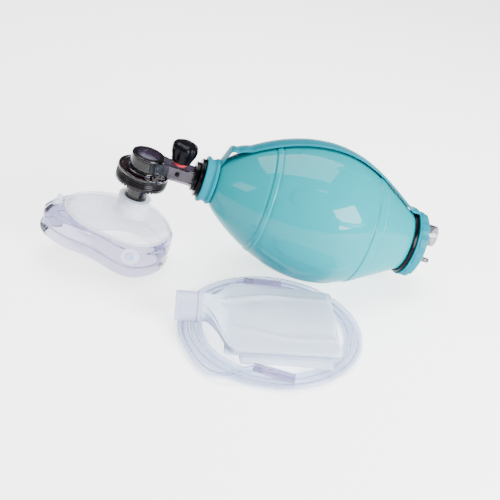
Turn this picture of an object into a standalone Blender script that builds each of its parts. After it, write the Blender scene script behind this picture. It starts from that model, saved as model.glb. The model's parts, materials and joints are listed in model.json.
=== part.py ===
"""Bag valve mask at rest on a table, with its reservoir bag and its coiled oxygen tubing beside it.

Metres, +Z up, the table at z = 0. The bag, its patient valve and its mask are built about the empty
"axis": its local X runs along the bag towards the rear, its local Z up along the patient valve, and its
origin is where the two meet. The empty leans so that the bag's belly and the mask's chin both touch z = 0.
"""

import math

import bmesh
import bpy
import numpy as np
from mathutils import Matrix, Vector

# ---------------------------------------------------------------- fits
GAP = 0.0003
RUNNING = 0.0003
MERGE = 0.00001
EDGE = 0.0008
OVERCUT = 0.0020

# ---------------------------------------------------------------- squeeze bag
BAG_RADIUS = 0.0695
BAG_WALL = 0.0030
BAG_FRONT = 0.0700
BAG_LENGTH = 0.2050
BAG_BELLY = 0.1090
FRONT_SHOULDER = 0.80
REAR_SHOULDER = 1.05
NECK_RADIUS = 0.0193
NECK_LENGTH = 0.0120
NECK_STEP = 0.0005
NECK_FLARE = 0.0022
REAR_NECK_RADIUS = 0.0312
REAR_NECK_LENGTH = 0.0075
RIB_HEIGHT = 0.0008
FRONT_RIB = 0.0490
FRONT_RIB_WIDTH = 0.0040
REAR_RIB = 0.1600
REAR_RIB_WIDTH = 0.0090
RIB_MARGIN = 0.0050

# ---------------------------------------------------------------- strap
STRAP_THICK = 0.0024
STRAP_CLEAR = 0.0007
STRAP_WIDTH = 0.0330
STRAP_END_WIDTH = 0.0230
STRAP_TURN = math.radians(14)
STRAP_ARCH = 0.0058
STRAP_ARCH_LENGTH = 0.0260
COLLAR_LENGTH = 0.0135
COLLAR_RIM = 0.0036
COLLAR_WAIST = 0.0019
COLLAR_RIM_LENGTH = 0.0030
TAIL_RING_WIDTH = 0.0022
TAIL_RING_WALL = 0.0034

# ---------------------------------------------------------------- swivel
SEAT_RADIUS = 0.0193
SEAT_LENGTH = 0.0042
SEAT_WALL = 0.0028
SEAT_DEPTH = 0.0105
SLEEVE_RADIUS = 0.0148
SLEEVE_LENGTH = 0.0042
SLEEVE_BORE = 0.0106

# ---------------------------------------------------------------- intake end
BAND_WIDTH = 0.0040
BAND_WALL = 0.0018
NUT_RADIUS = 0.0345
NUT_WIDTH = 0.0090
NUT_LOBES = 12
NUT_SCALLOP = 0.0100
NUT_SCALLOP_DEPTH = 0.0014
INTAKE_WALL = 0.0026
INTAKE_DEPTH = 0.0200
INTAKE_PLATE = 0.0034
INTAKE_STEP = 0.0012
INTAKE_HOLES = 6
INTAKE_HOLE = 0.0040
HOLE_CIRCLE = 0.0110
PORT_RADIUS = 0.0112
PORT_WALL = 0.0017
PORT_REACH = 0.0130
PORT_UP = 0.0150
PORT_TAIL = 0.0016
NIPPLE_RADIUS = 0.0029
NIPPLE_BORE = 0.0014
NIPPLE_REACH = 0.0170
NIPPLE_SIDE = -0.0080
NIPPLE_DOWN = -0.0100
NIPPLE_TIP = 0.0030
NIPPLE_BARB = 0.0036
NIPPLE_BARBS = 2
NIPPLE_LIP = 0.0014
DISC_THICK = 0.0012
INTAKE_DISC_RADIUS = 0.0190
DISC_STEM = 0.0013
DISC_STEM_PAST = 0.0034

# ---------------------------------------------------------------- patient valve
DOME_RADIUS = 0.0165
DOME_TOP = 0.0080
DOME_WALL = 0.0020
EXHAUST_RADIUS = 0.0117
FLANGE_RADIUS = 0.0260
FLANGE_TOP = -0.0081
FLANGE_THICK = 0.0030
ARM_WIDTH = 0.0170
ARM_TOP = 0.0066
ARM_WALL = 0.0018
ARM_END = 0.0474
ARM_SINK = 0.0008
ARM_ROOT = 0.0040
ARM_BORE_START = 0.0005
PASSAGE_HALF = 0.0050
PASSAGE_ROOF = 0.0006
WEDGE_START = 0.0080
WEDGE_PAST = 0.0075
WEDGE_SHARE = 0.78
WEDGE_SINK = 0.0012
LEDGE_TOP = 0.0006
LEDGE_THICK = 0.0014
LEDGE_RADIUS = 0.0100
RING_HEIGHT = 0.0112
RING_WALL = 0.0026
RING_FLOOR = 0.0022
RING_HOLE = 0.0128
RING_TEETH = 16
TOOTH_DEPTH = 0.0018
THREAD_LINES = 2
THREAD_PITCH = 0.0030
THREAD_START = 0.0012
THREAD_DEPTH = 0.0006
TOOTH_LENGTH = 0.0030
TOOTH_WIDTH = 0.0042
CONNECTOR_RADIUS = 0.0110
CONNECTOR_BORE = 0.0077
CONNECTOR_END = 0.0090
CONNECTOR_SEAT = 0.0020
CONNECTOR_FILLET = 0.0040
LIP_THICK = 0.0012
LIP_CONE = 0.0050
LIP_INSET = 0.0030
LIP_TIP = 0.0030
LIP_SLIT = 0.0012
DISC_CLEAR = 0.0012

# ---------------------------------------------------------------- pressure relief
RELIEF_X = 0.0315
RELIEF_TUBE = 0.0040
RELIEF_BORE = 0.0026
SEAL_RADIUS = 0.0070
SEAL_HEIGHT = 0.0034
RELIEF_CUP = 0.0080
RELIEF_CUP_HEIGHT = 0.0110
RELIEF_WALL = 0.0014
CAP_RADIUS = 0.0132
CAP_FOOT = 0.0102
CAP_HEIGHT = 0.0205
CAP_LOBES = 6
CAP_GROOVE = 0.0032
CAP_GROOVE_DEPTH = 0.0014
CAP_PLAIN = 0.0030
CAP_LIFT = 0.0006
CAP_CROWN = 0.0036
CUP_FLOOR = 0.0016
CUP_CLEAR = 0.0012
POPPET_THICK = 0.0014
STEM_RADIUS = 0.0012
SPRING_WIRE = 0.0005
SPRING_TURNS = 4
SPRING_CLEAR = 0.0020
RELIEF_TRAVEL = 0.0020
PLUG_RADIUS = 0.0024
PLUG_REACH = 0.0020
PLUG_STEM = 0.0013

# ---------------------------------------------------------------- mask
MASK_DEPTH = 0.0672
NECK_TOP = -0.0403
NECK_HEIGHT = 0.0195
NECK_WALL = 0.0017
INSERT_WALL = 0.0030
INSERT_RIM = 0.0020
INSERT_DEPTH = 0.0095
DOME_DROP = 0.0085
CHIN_PRESS = 0.0025
SHELL = 0.0020
BOSS_OUT = 0.0013
BOSS_HEIGHT = 0.0022
RIM_OUT = 0.0012
INFLATE_X = -0.0709
INFLATE_BASE = 0.0050
INFLATE_STUB = 0.0023
INFLATE_HEIGHT = 0.0115
INFLATE_SINK = 0.0043
INFLATE_SHOULDER = 0.0048
PLUG_X = 0.0105
PLUG_DROP = 0.0100
PLUG_SEAT = 0.0088
PLUG_CORE = 0.0042
PLUG_OUT = 0.0026
PLUG_RING = 0.0018

# ---------------------------------------------------------------- tubing and reservoir
TUBE = 0.0065
COIL_RADIUS = 0.0900
COIL_TURNS = 4
COIL_AFTER_FRONT = 0.0610
COIL_CLEAR = 0.0010
COIL_ROUND = 0.35
END_RADIUS = 0.0044
END_LENGTH = 0.0380
END_BORE = 0.0020
INNER_END = ((-0.0070, 0.0660), -0.07)
OUTER_END = ((-0.0020, -0.0740), -0.36)
RESERVOIR_BACK = 0.0920
RESERVOIR_SIDE = 0.0020
SOCKET_RADIUS = 0.0143
SOCKET_WALL = 0.0017
SOCKET_LENGTH = 0.0205
SOCKET_STEP = 0.0006
SOCKET_RING = 0.0150
SOCKET_RING_LENGTH = 0.0034
FILM_LENGTH = 0.1270
FILM_WIDTH = 0.1030
FILM_THICK = 0.0080
FILM_BELLY = 0.0580
FILM_BELLY_LOW = 0.0008
FILM_NECK = 0.0128
FILM_EDGE = 0.0020
FILM_SIDES = 28

COLOURS = {
    "silicone_teal": ((0.03, 0.56, 0.62, 1.0), 0.42),
    "black_plastic": ((0.015, 0.015, 0.02, 1.0), 0.35),
    "smoke_plastic": ((0.16, 0.13, 0.17, 1.0), 0.15),
    "smoke_clear": ((0.60, 0.62, 0.64, 1.0), 0.15),
    "red_silicone": ((0.45, 0.01, 0.02, 1.0), 0.45),
    "clear_silicone": ((0.80, 0.83, 0.88, 1.0), 0.20),
    "frosted_silicone": ((0.70, 0.76, 0.88, 1.0), 0.35),
    "blue_silicone": ((0.42, 0.55, 0.80, 1.0), 0.40),
    "clear_tubing": ((0.82, 0.84, 0.87, 1.0), 0.20),
    "violet_plastic": ((0.50, 0.46, 0.58, 1.0), 0.30),
    "white_film": ((0.88, 0.90, 0.93, 1.0), 0.35),
    "white_plastic": ((0.84, 0.86, 0.90, 1.0), 0.30),
    "steel": ((0.60, 0.60, 0.62, 1.0), 0.25),
}


# ---------------------------------------------------------------- scene and helpers
def start():
    """Empties the file and makes the two collections."""
    for obj in list(bpy.data.objects):
        bpy.data.objects.remove(obj, do_unlink=True)
    parts = bpy.data.collections.new("bag_valve_mask")
    cutters = bpy.data.collections.new("cutters")
    bpy.context.scene.collection.children.link(parts)
    bpy.context.scene.collection.children.link(cutters)
    return parts, cutters


PARTS, CUTTERS = start()


def material(finish):
    """The Principled material of that name, made once."""
    found = bpy.data.materials.get(finish)
    if found:
        return found
    colour, roughness = COLOURS[finish]
    made = bpy.data.materials.new(finish)
    made.use_nodes = True
    shader = made.node_tree.nodes["Principled BSDF"]
    shader.inputs["Base Color"].default_value = colour
    shader.inputs["Roughness"].default_value = roughness
    shader.inputs["Metallic"].default_value = 1.0 if finish == "steel" else 0.0
    return made


def frame_empty(name, parent=None, at=(0, 0, 0), turn=(0, 0, 0)):
    """An empty that carries pieces."""
    made = bpy.data.objects.new(name, None)
    PARTS.objects.link(made)
    made.parent = parent
    made.location = at
    made.rotation_euler = turn
    return made


def place(mesh, name, finish, parent, at=(0, 0, 0), turn=(0, 0, 0)):
    """A piece, or a cutter where finish is None."""
    made = bpy.data.objects.new(name, mesh)
    (PARTS if finish else CUTTERS).objects.link(made)
    if finish:
        mesh.materials.append(material(finish))
    else:
        made.hide_render = True
        made.display_type = "WIRE"
    made.parent = parent
    made.location = at
    made.rotation_euler = turn
    return made


def smooth(mesh):
    """Smooth shading with sharp edges past 35 degrees."""
    mesh.shade_smooth()
    mesh.set_sharp_from_angle(angle=math.radians(35))


def turned(name, profile, finish, parent, at=(0, 0, 0), turn=(0, 0, 0), steps=24, closed=True):
    """A turned piece: profile holds (radius, height) points, outer side first, from the top down."""
    mesh = bpy.data.meshes.new(name)
    points = [(radius, 0.0, height) for radius, height in profile]
    edges = [(i, i + 1) for i in range(len(points) - 1)]
    if closed:
        edges.append((len(points) - 1, 0))
    mesh.from_pydata(points, edges, [])
    made = place(mesh, name, finish, parent, at, turn)
    screw = made.modifiers.new("turn", "SCREW")
    screw.steps = steps
    screw.render_steps = steps
    screw.use_merge_vertices = True
    screw.merge_threshold = MERGE
    screw.use_smooth_shade = True
    return made


def block(name, low, high, finish, parent, at=(0, 0, 0), turn=(0, 0, 0)):
    """A box between two corners."""
    shape = bmesh.new()
    bmesh.ops.create_cube(shape, size=1.0)
    low = Vector(low)
    high = Vector(high)
    bmesh.ops.scale(shape, vec=high - low, verts=shape.verts)
    bmesh.ops.translate(shape, vec=(low + high) / 2, verts=shape.verts)
    mesh = bpy.data.meshes.new(name)
    shape.to_mesh(mesh)
    shape.free()
    return place(mesh, name, finish, parent, at, turn)


def rod(name, radius, bottom, top, finish, parent, at=(0, 0, 0), turn=(0, 0, 0), sides=24, copies=None):
    """A cylinder from bottom to top along its Z, or several of them in one mesh at the given centres."""
    shape = bmesh.new()
    for centre in copies or [(0.0, 0.0, 0.0)]:
        spot = Matrix.Translation(Vector(centre) + Vector((0, 0, (bottom + top) / 2)))
        size = {"radius1": radius, "radius2": radius, "depth": top - bottom}
        bmesh.ops.create_cone(shape, cap_ends=True, segments=sides, matrix=spot, **size)
    mesh = bpy.data.meshes.new(name)
    shape.to_mesh(mesh)
    shape.free()
    smooth(mesh)
    return place(mesh, name, finish, parent, at, turn)


def join(piece, other, kind="DIFFERENCE"):
    """Cuts the other shape from the piece, or unites the two."""
    step = piece.modifiers.new(kind.lower(), "BOOLEAN")
    step.operation = kind
    step.object = other
    step.solver = "EXACT"
    return piece


def loft(name, rings, finish, parent, closed=True):
    """A body through rings of equal point counts; the rings close on themselves, or the ends are capped."""
    rings = np.asarray(rings)
    count, sides, _ = rings.shape
    spans = count if closed else count - 1
    i, j = np.meshgrid(np.arange(spans), np.arange(sides), indexing="ij")
    this = i * sides
    following = ((i + 1) % count) * sides
    onward = (j + 1) % sides
    faces = np.stack([this + j, following + j, following + onward, this + onward], axis=-1).reshape(-1, 4)
    faces = [list(map(int, face)) for face in faces]
    if not closed:
        faces.append(list(range(sides)))
        faces.append(list(range((count - 1) * sides, count * sides))[::-1])
    mesh = bpy.data.meshes.new(name)
    mesh.from_pydata(rings.reshape(-1, 3).tolist(), [], faces)
    shape = bmesh.new()
    shape.from_mesh(mesh)
    bmesh.ops.recalc_face_normals(shape, faces=shape.faces)
    shape.to_mesh(mesh)
    shape.free()
    smooth(mesh)
    return place(mesh, name, finish, parent)


def tube_mesh(name, points, radius, finish, parent, at=(0, 0, 0), turn=(0, 0, 0)):
    """A wire along points, as a mesh with its caps welded."""
    curve = bpy.data.curves.new(name, "CURVE")
    curve.dimensions = "3D"
    curve.render_resolution_u = 0
    curve.bevel_depth = radius
    curve.bevel_resolution = 2
    curve.use_fill_caps = True
    line = curve.splines.new("POLY")
    line.points.add(len(points) - 1)
    for spot, point in zip(line.points, points):
        spot.co = (*point, 1.0)
    guide = bpy.data.objects.new(name + "_path", curve)
    CUTTERS.objects.link(guide)
    bpy.context.view_layer.update()
    mesh = bpy.data.meshes.new_from_object(guide.evaluated_get(bpy.context.evaluated_depsgraph_get()))
    bpy.data.objects.remove(guide, do_unlink=True)
    bpy.data.curves.remove(curve)
    shape = bmesh.new()
    shape.from_mesh(mesh)
    bmesh.ops.remove_doubles(shape, verts=shape.verts, dist=MERGE)
    bmesh.ops.recalc_face_normals(shape, faces=shape.faces)
    shape.to_mesh(mesh)
    shape.free()
    mesh.materials.clear()
    smooth(mesh)
    return place(mesh, name, finish, parent, at, turn)


# ---------------------------------------------------------------- shared shapes and derived places
ALONG_X = (0.0, math.pi / 2, 0.0)
ALONG_MINUS_Y = (math.pi / 2, 0.0, 0.0)

BAG_REAR = BAG_FRONT + BAG_LENGTH
WIDEST = BAG_FRONT + BAG_BELLY


def bag_radius(x):
    """The bag's outer radius: a rounded shoulder up from each neck to the widest section."""
    x = np.asarray(x, dtype=float)
    front = np.clip((WIDEST - x) / (WIDEST - BAG_FRONT), 0, 1)
    rear = np.clip((x - WIDEST) / (BAG_REAR - WIDEST), 0, 1)
    rise_front = np.cos(front * math.pi / 2).clip(0) ** FRONT_SHOULDER
    rise_rear = np.cos(rear * math.pi / 2).clip(0) ** REAR_SHOULDER
    foot = NECK_RADIUS + NECK_FLARE
    toward_front = foot + (BAG_RADIUS - foot) * rise_front
    toward_rear = REAR_NECK_RADIUS + (BAG_RADIUS - REAR_NECK_RADIUS) * rise_rear
    return np.where(x < WIDEST, toward_front, toward_rear)


def mask_bottom_below(lean):
    """How far the axis origin stands over the chin's lowest point before it is pressed flat."""
    chin_x, chin_z = CHIN_POINT
    return chin_x * math.sin(lean) - chin_z * math.cos(lean)


def belly_below(lean):
    """How far the axis origin stands over the belly's lowest point."""
    x = np.linspace(BAG_FRONT, BAG_REAR, 400)
    return float(np.max(x * math.sin(lean) + (bag_radius(x) + RIB_HEIGHT * on_rib(x)) * math.cos(lean)))


def arc(x, radius, angle):
    """Points at x round the bag's axis, the angle measured from straight up."""
    return np.stack([np.full(len(angle), x), radius * np.sin(angle), radius * np.cos(angle)], axis=1)


def on_rib(x):
    """1 on a rib's flat, else 0."""
    x = np.asarray(x)
    first = np.abs(x - BAG_FRONT - FRONT_RIB) < FRONT_RIB_WIDTH / 2
    second = np.abs(x - BAG_FRONT - REAR_RIB) < REAR_RIB_WIDTH / 2
    return (first | second).astype(float)


def resting_lean():
    """The lean at which belly and pressed chin reach the table together, found by halving."""
    low, high = 0.0, math.radians(40)
    for _ in range(50):
        middle = (low + high) / 2
        if belly_below(middle) > mask_bottom_below(middle) - CHIN_PRESS:
            high = middle
        else:
            low = middle
    return (low + high) / 2


def coil_standoff():
    """How far the coil's centre lies beside the bag, so that one tube's height passes under the belly."""
    x = np.linspace(BAG_FRONT, BAG_REAR, 200)
    drop = (HEIGHT - x * math.sin(LEAN) - TUBE) / math.cos(LEAN)
    radius = bag_radius(x) + RIB_HEIGHT
    half_chord = np.sqrt(np.clip(radius**2 - drop**2, 0, None))
    along = x * math.cos(LEAN) - drop * math.sin(LEAN) - COIL_X
    reach = np.sqrt(np.clip(COIL_RADIUS**2 - along**2, 0, None))
    meets = (half_chord > 0) & (np.abs(along) < COIL_RADIUS)
    return float(np.max(np.where(meets, half_chord + reach, 0))) + COIL_CLEAR


def outline(centre, half, nose, chin, z, sides=28):
    """A mask outline at height z: pear-shaped, its half-width growing from the nose's to the chin's."""
    turn = np.linspace(0, 2 * math.pi, sides, endpoint=False)
    along = np.cos(turn)
    mix = np.clip((along + 0.3) / 0.95, 0, 1)
    width = nose + (chin - nose) * mix * mix * (3 - 2 * mix)
    return np.stack([centre + half * along, width * np.sin(turn), np.full(sides, z)], axis=1)


def grown(base, grow, z):
    """A mask outline with its three sizes grown, at height z."""
    centre, half, nose, chin = base
    return outline(centre, half + grow, nose + grow, chin + grow, z)


def blended(first, last, drop, steps):
    """Rings on the way from first to last: each step gives the share across and the share of the drop."""
    rings = []
    for share, fall in steps:
        ring = first + (last - first) * share
        ring[:, 2] = first[0, 2] - drop * fall
        rings.append(ring)
    return rings


def circle(radius, z, sides=28):
    """A round ring of points about the valve's axis."""
    turn = np.linspace(0, 2 * math.pi, sides, endpoint=False)
    return np.stack([radius * np.cos(turn), radius * np.sin(turn), np.full(sides, z)], axis=1)


FLANGE_BOTTOM = FLANGE_TOP - FLANGE_THICK
RING_TOP = FLANGE_BOTTOM - GAP
RING_BOTTOM = RING_TOP - RING_HEIGHT
MASK_BOTTOM = NECK_TOP - MASK_DEPTH
NECK_OUTER = CONNECTOR_RADIUS + RUNNING + INSERT_WALL + GAP + NECK_WALL
SEAM_Z = NECK_TOP - NECK_HEIGHT - DOME_DROP
SEAM = (-0.0100, 0.0540, 0.0400, 0.0500)
WALL = (-0.0160, 0.0670, 0.0330, 0.0575)
FOOT = (-0.0160, 0.0610, 0.0270, 0.0515)
CROWN = ((0.22, 0.05), (0.48, 0.16), (0.72, 0.36), (0.90, 0.66), (1.0, 1.0))
CUSHION = (
    ("seam", 0.0010, "top", 0.0),
    ("middle", 0.0016, "top", -0.0028),
    ("wall", -0.0006, "top", -0.0110),
    ("wall", 0.0, "lip", 0.0080),
    ("wall", -0.0012, "lip", 0.0035),
    ("foot", 0.0020, "lip", 0.0006),
    ("foot", 0.0, "lip", 0.0),
    ("foot", -0.0030, "lip", 0.0008),
    ("foot", -0.0055, "lip", 0.0060),
    ("foot", -0.0020, "lip", 0.0110),
    ("wall", -0.0038, "lip", 0.0130),
    ("wall", -0.0036, "top", -0.0160),
    ("middle", -0.0030, "top", -0.0075),
    ("seam", -0.0040, "top", -0.0040),
    ("seam", -0.0040, "top", 0.0),
)
UNDER_TABLE = ((-0.4, -0.3, -0.05), (0.4, 0.3, 0.0))
CHIN_POINT = (FOOT[0] + FOOT[1], MASK_BOTTOM)
LEAN = resting_lean()
HEIGHT = belly_below(LEAN)
COIL_X = BAG_FRONT + COIL_AFTER_FRONT
COIL_Y = -coil_standoff()


# ---------------------------------------------------------------- squeeze bag group
def bag_shell(axis):
    """Thin wall of revolution, open at both necks, with the two raised ribs on its outside."""
    stations = list(np.linspace(BAG_FRONT, BAG_REAR, 13))
    ribs = []
    for start_at, width in ((FRONT_RIB, FRONT_RIB_WIDTH), (REAR_RIB, REAR_RIB_WIDTH)):
        middle = BAG_FRONT + start_at
        for side in (-1, 1):
            foot = middle + side * (width / 2 + RIB_HEIGHT)
            crest = middle + side * width / 2
            ribs += [(foot, 0.0), (crest, RIB_HEIGHT)]
    outer = [(x, 0.0) for x in stations if all(abs(x - place_x) > RIB_MARGIN for place_x, _ in ribs)]
    outer = sorted(outer + ribs)
    rear_end = BAG_REAR + REAR_NECK_LENGTH + BAND_WIDTH
    front_end = BAG_FRONT - NECK_LENGTH
    profile = [(REAR_NECK_RADIUS, rear_end)]
    profile += [(float(bag_radius(x)) + lift, x) for x, lift in reversed(outer)]
    profile += [(NECK_RADIUS, BAG_FRONT - NECK_STEP), (NECK_RADIUS, front_end)]
    profile += [(NECK_RADIUS - BAG_WALL, front_end), (NECK_RADIUS - BAG_WALL, BAG_FRONT)]
    inside = np.linspace(BAG_FRONT + BAG_WALL, BAG_REAR - BAG_WALL / 2, 8)
    profile += [(float(bag_radius(x)) - BAG_WALL, float(x)) for x in inside]
    profile += [(REAR_NECK_RADIUS - BAG_WALL, BAG_REAR), (REAR_NECK_RADIUS - BAG_WALL, rear_end)]
    turned("bag_shell", profile, "silicone_teal", axis, turn=ALONG_X, steps=28)


def hand_strap(axis):
    """One silicone moulding: waisted collar at the front, strap over the bag, thin ring at the rear."""
    inner = NECK_RADIUS + GAP
    rim = inner + COLLAR_RIM
    waist = inner + COLLAR_WAIST
    high = BAG_FRONT - NECK_STEP - GAP
    low = BAG_FRONT - COLLAR_LENGTH
    profile = [
        (rim - EDGE, high),
        (rim, high - EDGE),
        (rim, high - COLLAR_RIM_LENGTH + EDGE),
        (waist, high - COLLAR_RIM_LENGTH - 2 * EDGE),
        (waist - EDGE / 2, (high + low) / 2),
        (waist, low + COLLAR_RIM_LENGTH + EDGE),
        (rim, low + COLLAR_RIM_LENGTH / 2),
        (rim, low + EDGE),
        (rim - EDGE, low),
        (inner, low),
        (inner, high),
    ]
    made = turned("hand_strap", profile, "silicone_teal", axis, turn=ALONG_X)
    tail_low = BAG_REAR + BAND_WIDTH + 2 * GAP
    tail_inner = REAR_NECK_RADIUS + GAP
    tail_outer = tail_inner + TAIL_RING_WALL
    ring = [
        (tail_outer - EDGE / 2, tail_low + TAIL_RING_WIDTH),
        (tail_outer, tail_low + TAIL_RING_WIDTH - EDGE / 2),
        (tail_outer, tail_low + EDGE / 2),
        (tail_outer - EDGE / 2, tail_low),
        (tail_inner, tail_low),
        (tail_inner, tail_low + TAIL_RING_WIDTH),
    ]
    tail = turned("strap_tail_ring", ring, None, axis, turn=ALONG_X)
    x = np.concatenate(
        [
            np.linspace(BAG_FRONT - COLLAR_RIM_LENGTH / 2, BAG_FRONT + STRAP_ARCH_LENGTH, 7),
            np.linspace(BAG_FRONT + STRAP_ARCH_LENGTH, BAG_REAR + BAND_WIDTH + GAP, 13)[1:],
            [tail_low + TAIL_RING_WIDTH / 2],
        ]
    )
    clear = np.maximum(bag_radius(x), REAR_NECK_RADIUS + BAND_WALL + GAP) + RIB_HEIGHT + STRAP_CLEAR
    reach = np.clip((x - x[0]) / STRAP_ARCH_LENGTH, 0, 1)
    arch = STRAP_ARCH * np.sin(math.pi * reach) ** 1.2
    under = np.where(x < BAG_FRONT, rim - 2 * EDGE, clear) + arch
    under[0] = rim - 2 * EDGE
    under[-1] = tail_inner + EDGE / 2
    spread = np.sin(np.clip((x - x[0]) / (x[-1] - x[0]), 0, 1) * math.pi) ** 0.7
    half = (STRAP_END_WIDTH + (STRAP_WIDTH - STRAP_END_WIDTH) * spread) / 2
    across = np.linspace(-1, 1, 5)
    rings = []
    for radius, width, at_x in zip(under, half, x):
        angle = STRAP_TURN + across * width / radius
        outer_radius = radius + STRAP_THICK * (1 - 0.25 * across**4)
        rings.append(np.concatenate([arc(at_x, radius, angle), arc(at_x, outer_radius, angle)[::-1]]))
    band = loft("strap_band", rings, None, axis, closed=False)
    join(made, band, "UNION")
    join(made, tail, "UNION")


def swivel_seat(axis):
    """Black stepped collar: a face ring against the bag's neck and a tube inside it."""
    face = BAG_FRONT - COLLAR_LENGTH - GAP
    tube_outer = NECK_RADIUS - BAG_WALL - GAP
    bore = tube_outer - SEAT_WALL
    profile = [
        (tube_outer, face + SEAT_DEPTH),
        (tube_outer, face),
        (SEAT_RADIUS - EDGE / 2, face),
        (SEAT_RADIUS, face - EDGE / 2),
        (SEAT_RADIUS, face - SEAT_LENGTH + EDGE),
        (SEAT_RADIUS - EDGE, face - SEAT_LENGTH),
        (bore, face - SEAT_LENGTH),
        (bore, face + SEAT_DEPTH),
    ]
    turned("swivel_seat", profile, "black_plastic", axis, turn=ALONG_X)


def intake_end(axis):
    """Everything at the bag's rear neck: clamp band, ring nut, intake body, its disc, port and nipple."""
    band_low = BAG_REAR + GAP
    ring = [
        (REAR_NECK_RADIUS + GAP + BAND_WALL, band_low + BAND_WIDTH),
        (REAR_NECK_RADIUS + GAP + BAND_WALL, band_low),
        (REAR_NECK_RADIUS + GAP, band_low),
        (REAR_NECK_RADIUS + GAP, band_low + BAND_WIDTH),
    ]
    turned("rear_clamp_band", ring, "black_plastic", axis, turn=ALONG_X)

    nut_low = BAG_REAR + BAND_WIDTH + TAIL_RING_WIDTH + 3 * GAP
    nut_high = nut_low + NUT_WIDTH
    neck_end = BAG_REAR + REAR_NECK_LENGTH + BAND_WIDTH
    body_outer = REAR_NECK_RADIUS - BAG_WALL - GAP
    profile = [
        (NUT_RADIUS - 2 * EDGE, nut_high),
        (NUT_RADIUS, nut_high - 2 * EDGE),
        (NUT_RADIUS, nut_low + EDGE),
        (NUT_RADIUS - EDGE, nut_low),
        (REAR_NECK_RADIUS + GAP, nut_low),
        (REAR_NECK_RADIUS + GAP, neck_end + GAP),
        (body_outer + GAP, neck_end + GAP),
        (body_outer + GAP, nut_high),
    ]
    nut = turned("intake_ring_nut", profile, "silicone_teal", axis, turn=ALONG_X, steps=30)
    angles = [(k + 0.5) * 2 * math.pi / NUT_LOBES for k in range(NUT_LOBES)]
    away = NUT_RADIUS + NUT_SCALLOP - NUT_SCALLOP_DEPTH
    spots = [(away * math.cos(a), away * math.sin(a), 0.0) for a in angles]
    ends = (nut_low - OVERCUT, nut_high + OVERCUT)
    join(nut, rod("nut_scallops", NUT_SCALLOP, *ends, None, axis, turn=ALONG_X, sides=20, copies=spots))

    back = nut_high + INTAKE_STEP
    front = back - INTAKE_DEPTH
    inner = body_outer - INTAKE_WALL
    housing = [
        (0.0, back),
        (body_outer - EDGE, back),
        (body_outer, back - EDGE),
        (body_outer, front),
        (0.0, front),
    ]
    body = turned("intake_housing", housing, "silicone_teal", axis, turn=ALONG_X, closed=False)
    hollow = (front + INTAKE_WALL, back - INTAKE_PLATE)
    join(body, rod("intake_hollow", inner, *hollow, None, axis, turn=ALONG_X, sides=32))
    angles = [k * 2 * math.pi / INTAKE_HOLES for k in range(INTAKE_HOLES)]
    spots = [(HOLE_CIRCLE * math.cos(a), HOLE_CIRCLE * math.sin(a), 0.0) for a in angles]
    floor = (front - OVERCUT, front + INTAKE_WALL + OVERCUT)
    join(body, rod("intake_holes", INTAKE_HOLE, *floor, None, axis, turn=ALONG_X, sides=12, copies=spots))
    join(body, rod("stem_hole", DISC_STEM + GAP, *floor, None, axis, turn=ALONG_X, sides=12))
    plate = (back - INTAKE_PLATE - OVERCUT, back + OVERCUT)
    port_at = (0, 0, PORT_UP)
    nipple_at = (0, NIPPLE_SIDE, NIPPLE_DOWN)
    join(body, rod("port_hole", PORT_RADIUS + GAP, *plate, None, axis, at=port_at, turn=ALONG_X))
    drill = rod("nipple_hole", NIPPLE_RADIUS + GAP, *plate, None, axis, at=nipple_at, turn=ALONG_X, sides=16)
    join(body, drill)

    disc_face = front - GAP
    disc = [
        (INTAKE_DISC_RADIUS, disc_face),
        (INTAKE_DISC_RADIUS, disc_face - DISC_THICK),
        (0.0, disc_face - DISC_THICK),
    ]
    stem_end = front + INTAKE_WALL + DISC_STEM_PAST
    stem = [(0.0, stem_end), (DISC_STEM, stem_end), (DISC_STEM, disc_face)]
    turned("intake_disc", stem + disc, "frosted_silicone", axis, turn=ALONG_X, closed=False, steps=28)

    inside = back - INTAKE_PLATE - GAP
    port = [
        (PORT_RADIUS - EDGE / 2, back + PORT_REACH),
        (PORT_RADIUS, back + PORT_REACH - EDGE / 2),
        (PORT_RADIUS, inside - PORT_TAIL),
        (PORT_RADIUS - PORT_WALL, inside - PORT_TAIL),
        (PORT_RADIUS - PORT_WALL, back + PORT_REACH),
    ]
    turned("reservoir_port", port, "smoke_clear", axis, at=port_at, turn=ALONG_X, steps=28)

    tip = back + NIPPLE_REACH
    nipple = [(NIPPLE_RADIUS * 0.72, tip), (NIPPLE_RADIUS, tip - NIPPLE_TIP)]
    for k in range(NIPPLE_BARBS):
        step = tip - NIPPLE_TIP - NIPPLE_BARB * k
        nipple += [(NIPPLE_RADIUS * 0.80, step), (NIPPLE_RADIUS, step - NIPPLE_BARB)]
    nipple += [
        (NIPPLE_RADIUS, inside),
        (NIPPLE_RADIUS + NIPPLE_LIP, inside),
        (NIPPLE_RADIUS + NIPPLE_LIP, inside - NIPPLE_LIP),
        (NIPPLE_BORE, inside - NIPPLE_LIP),
        (NIPPLE_BORE, tip),
    ]
    turned("oxygen_nipple", nipple, "smoke_clear", axis, at=nipple_at, turn=ALONG_X, steps=16)


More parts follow.
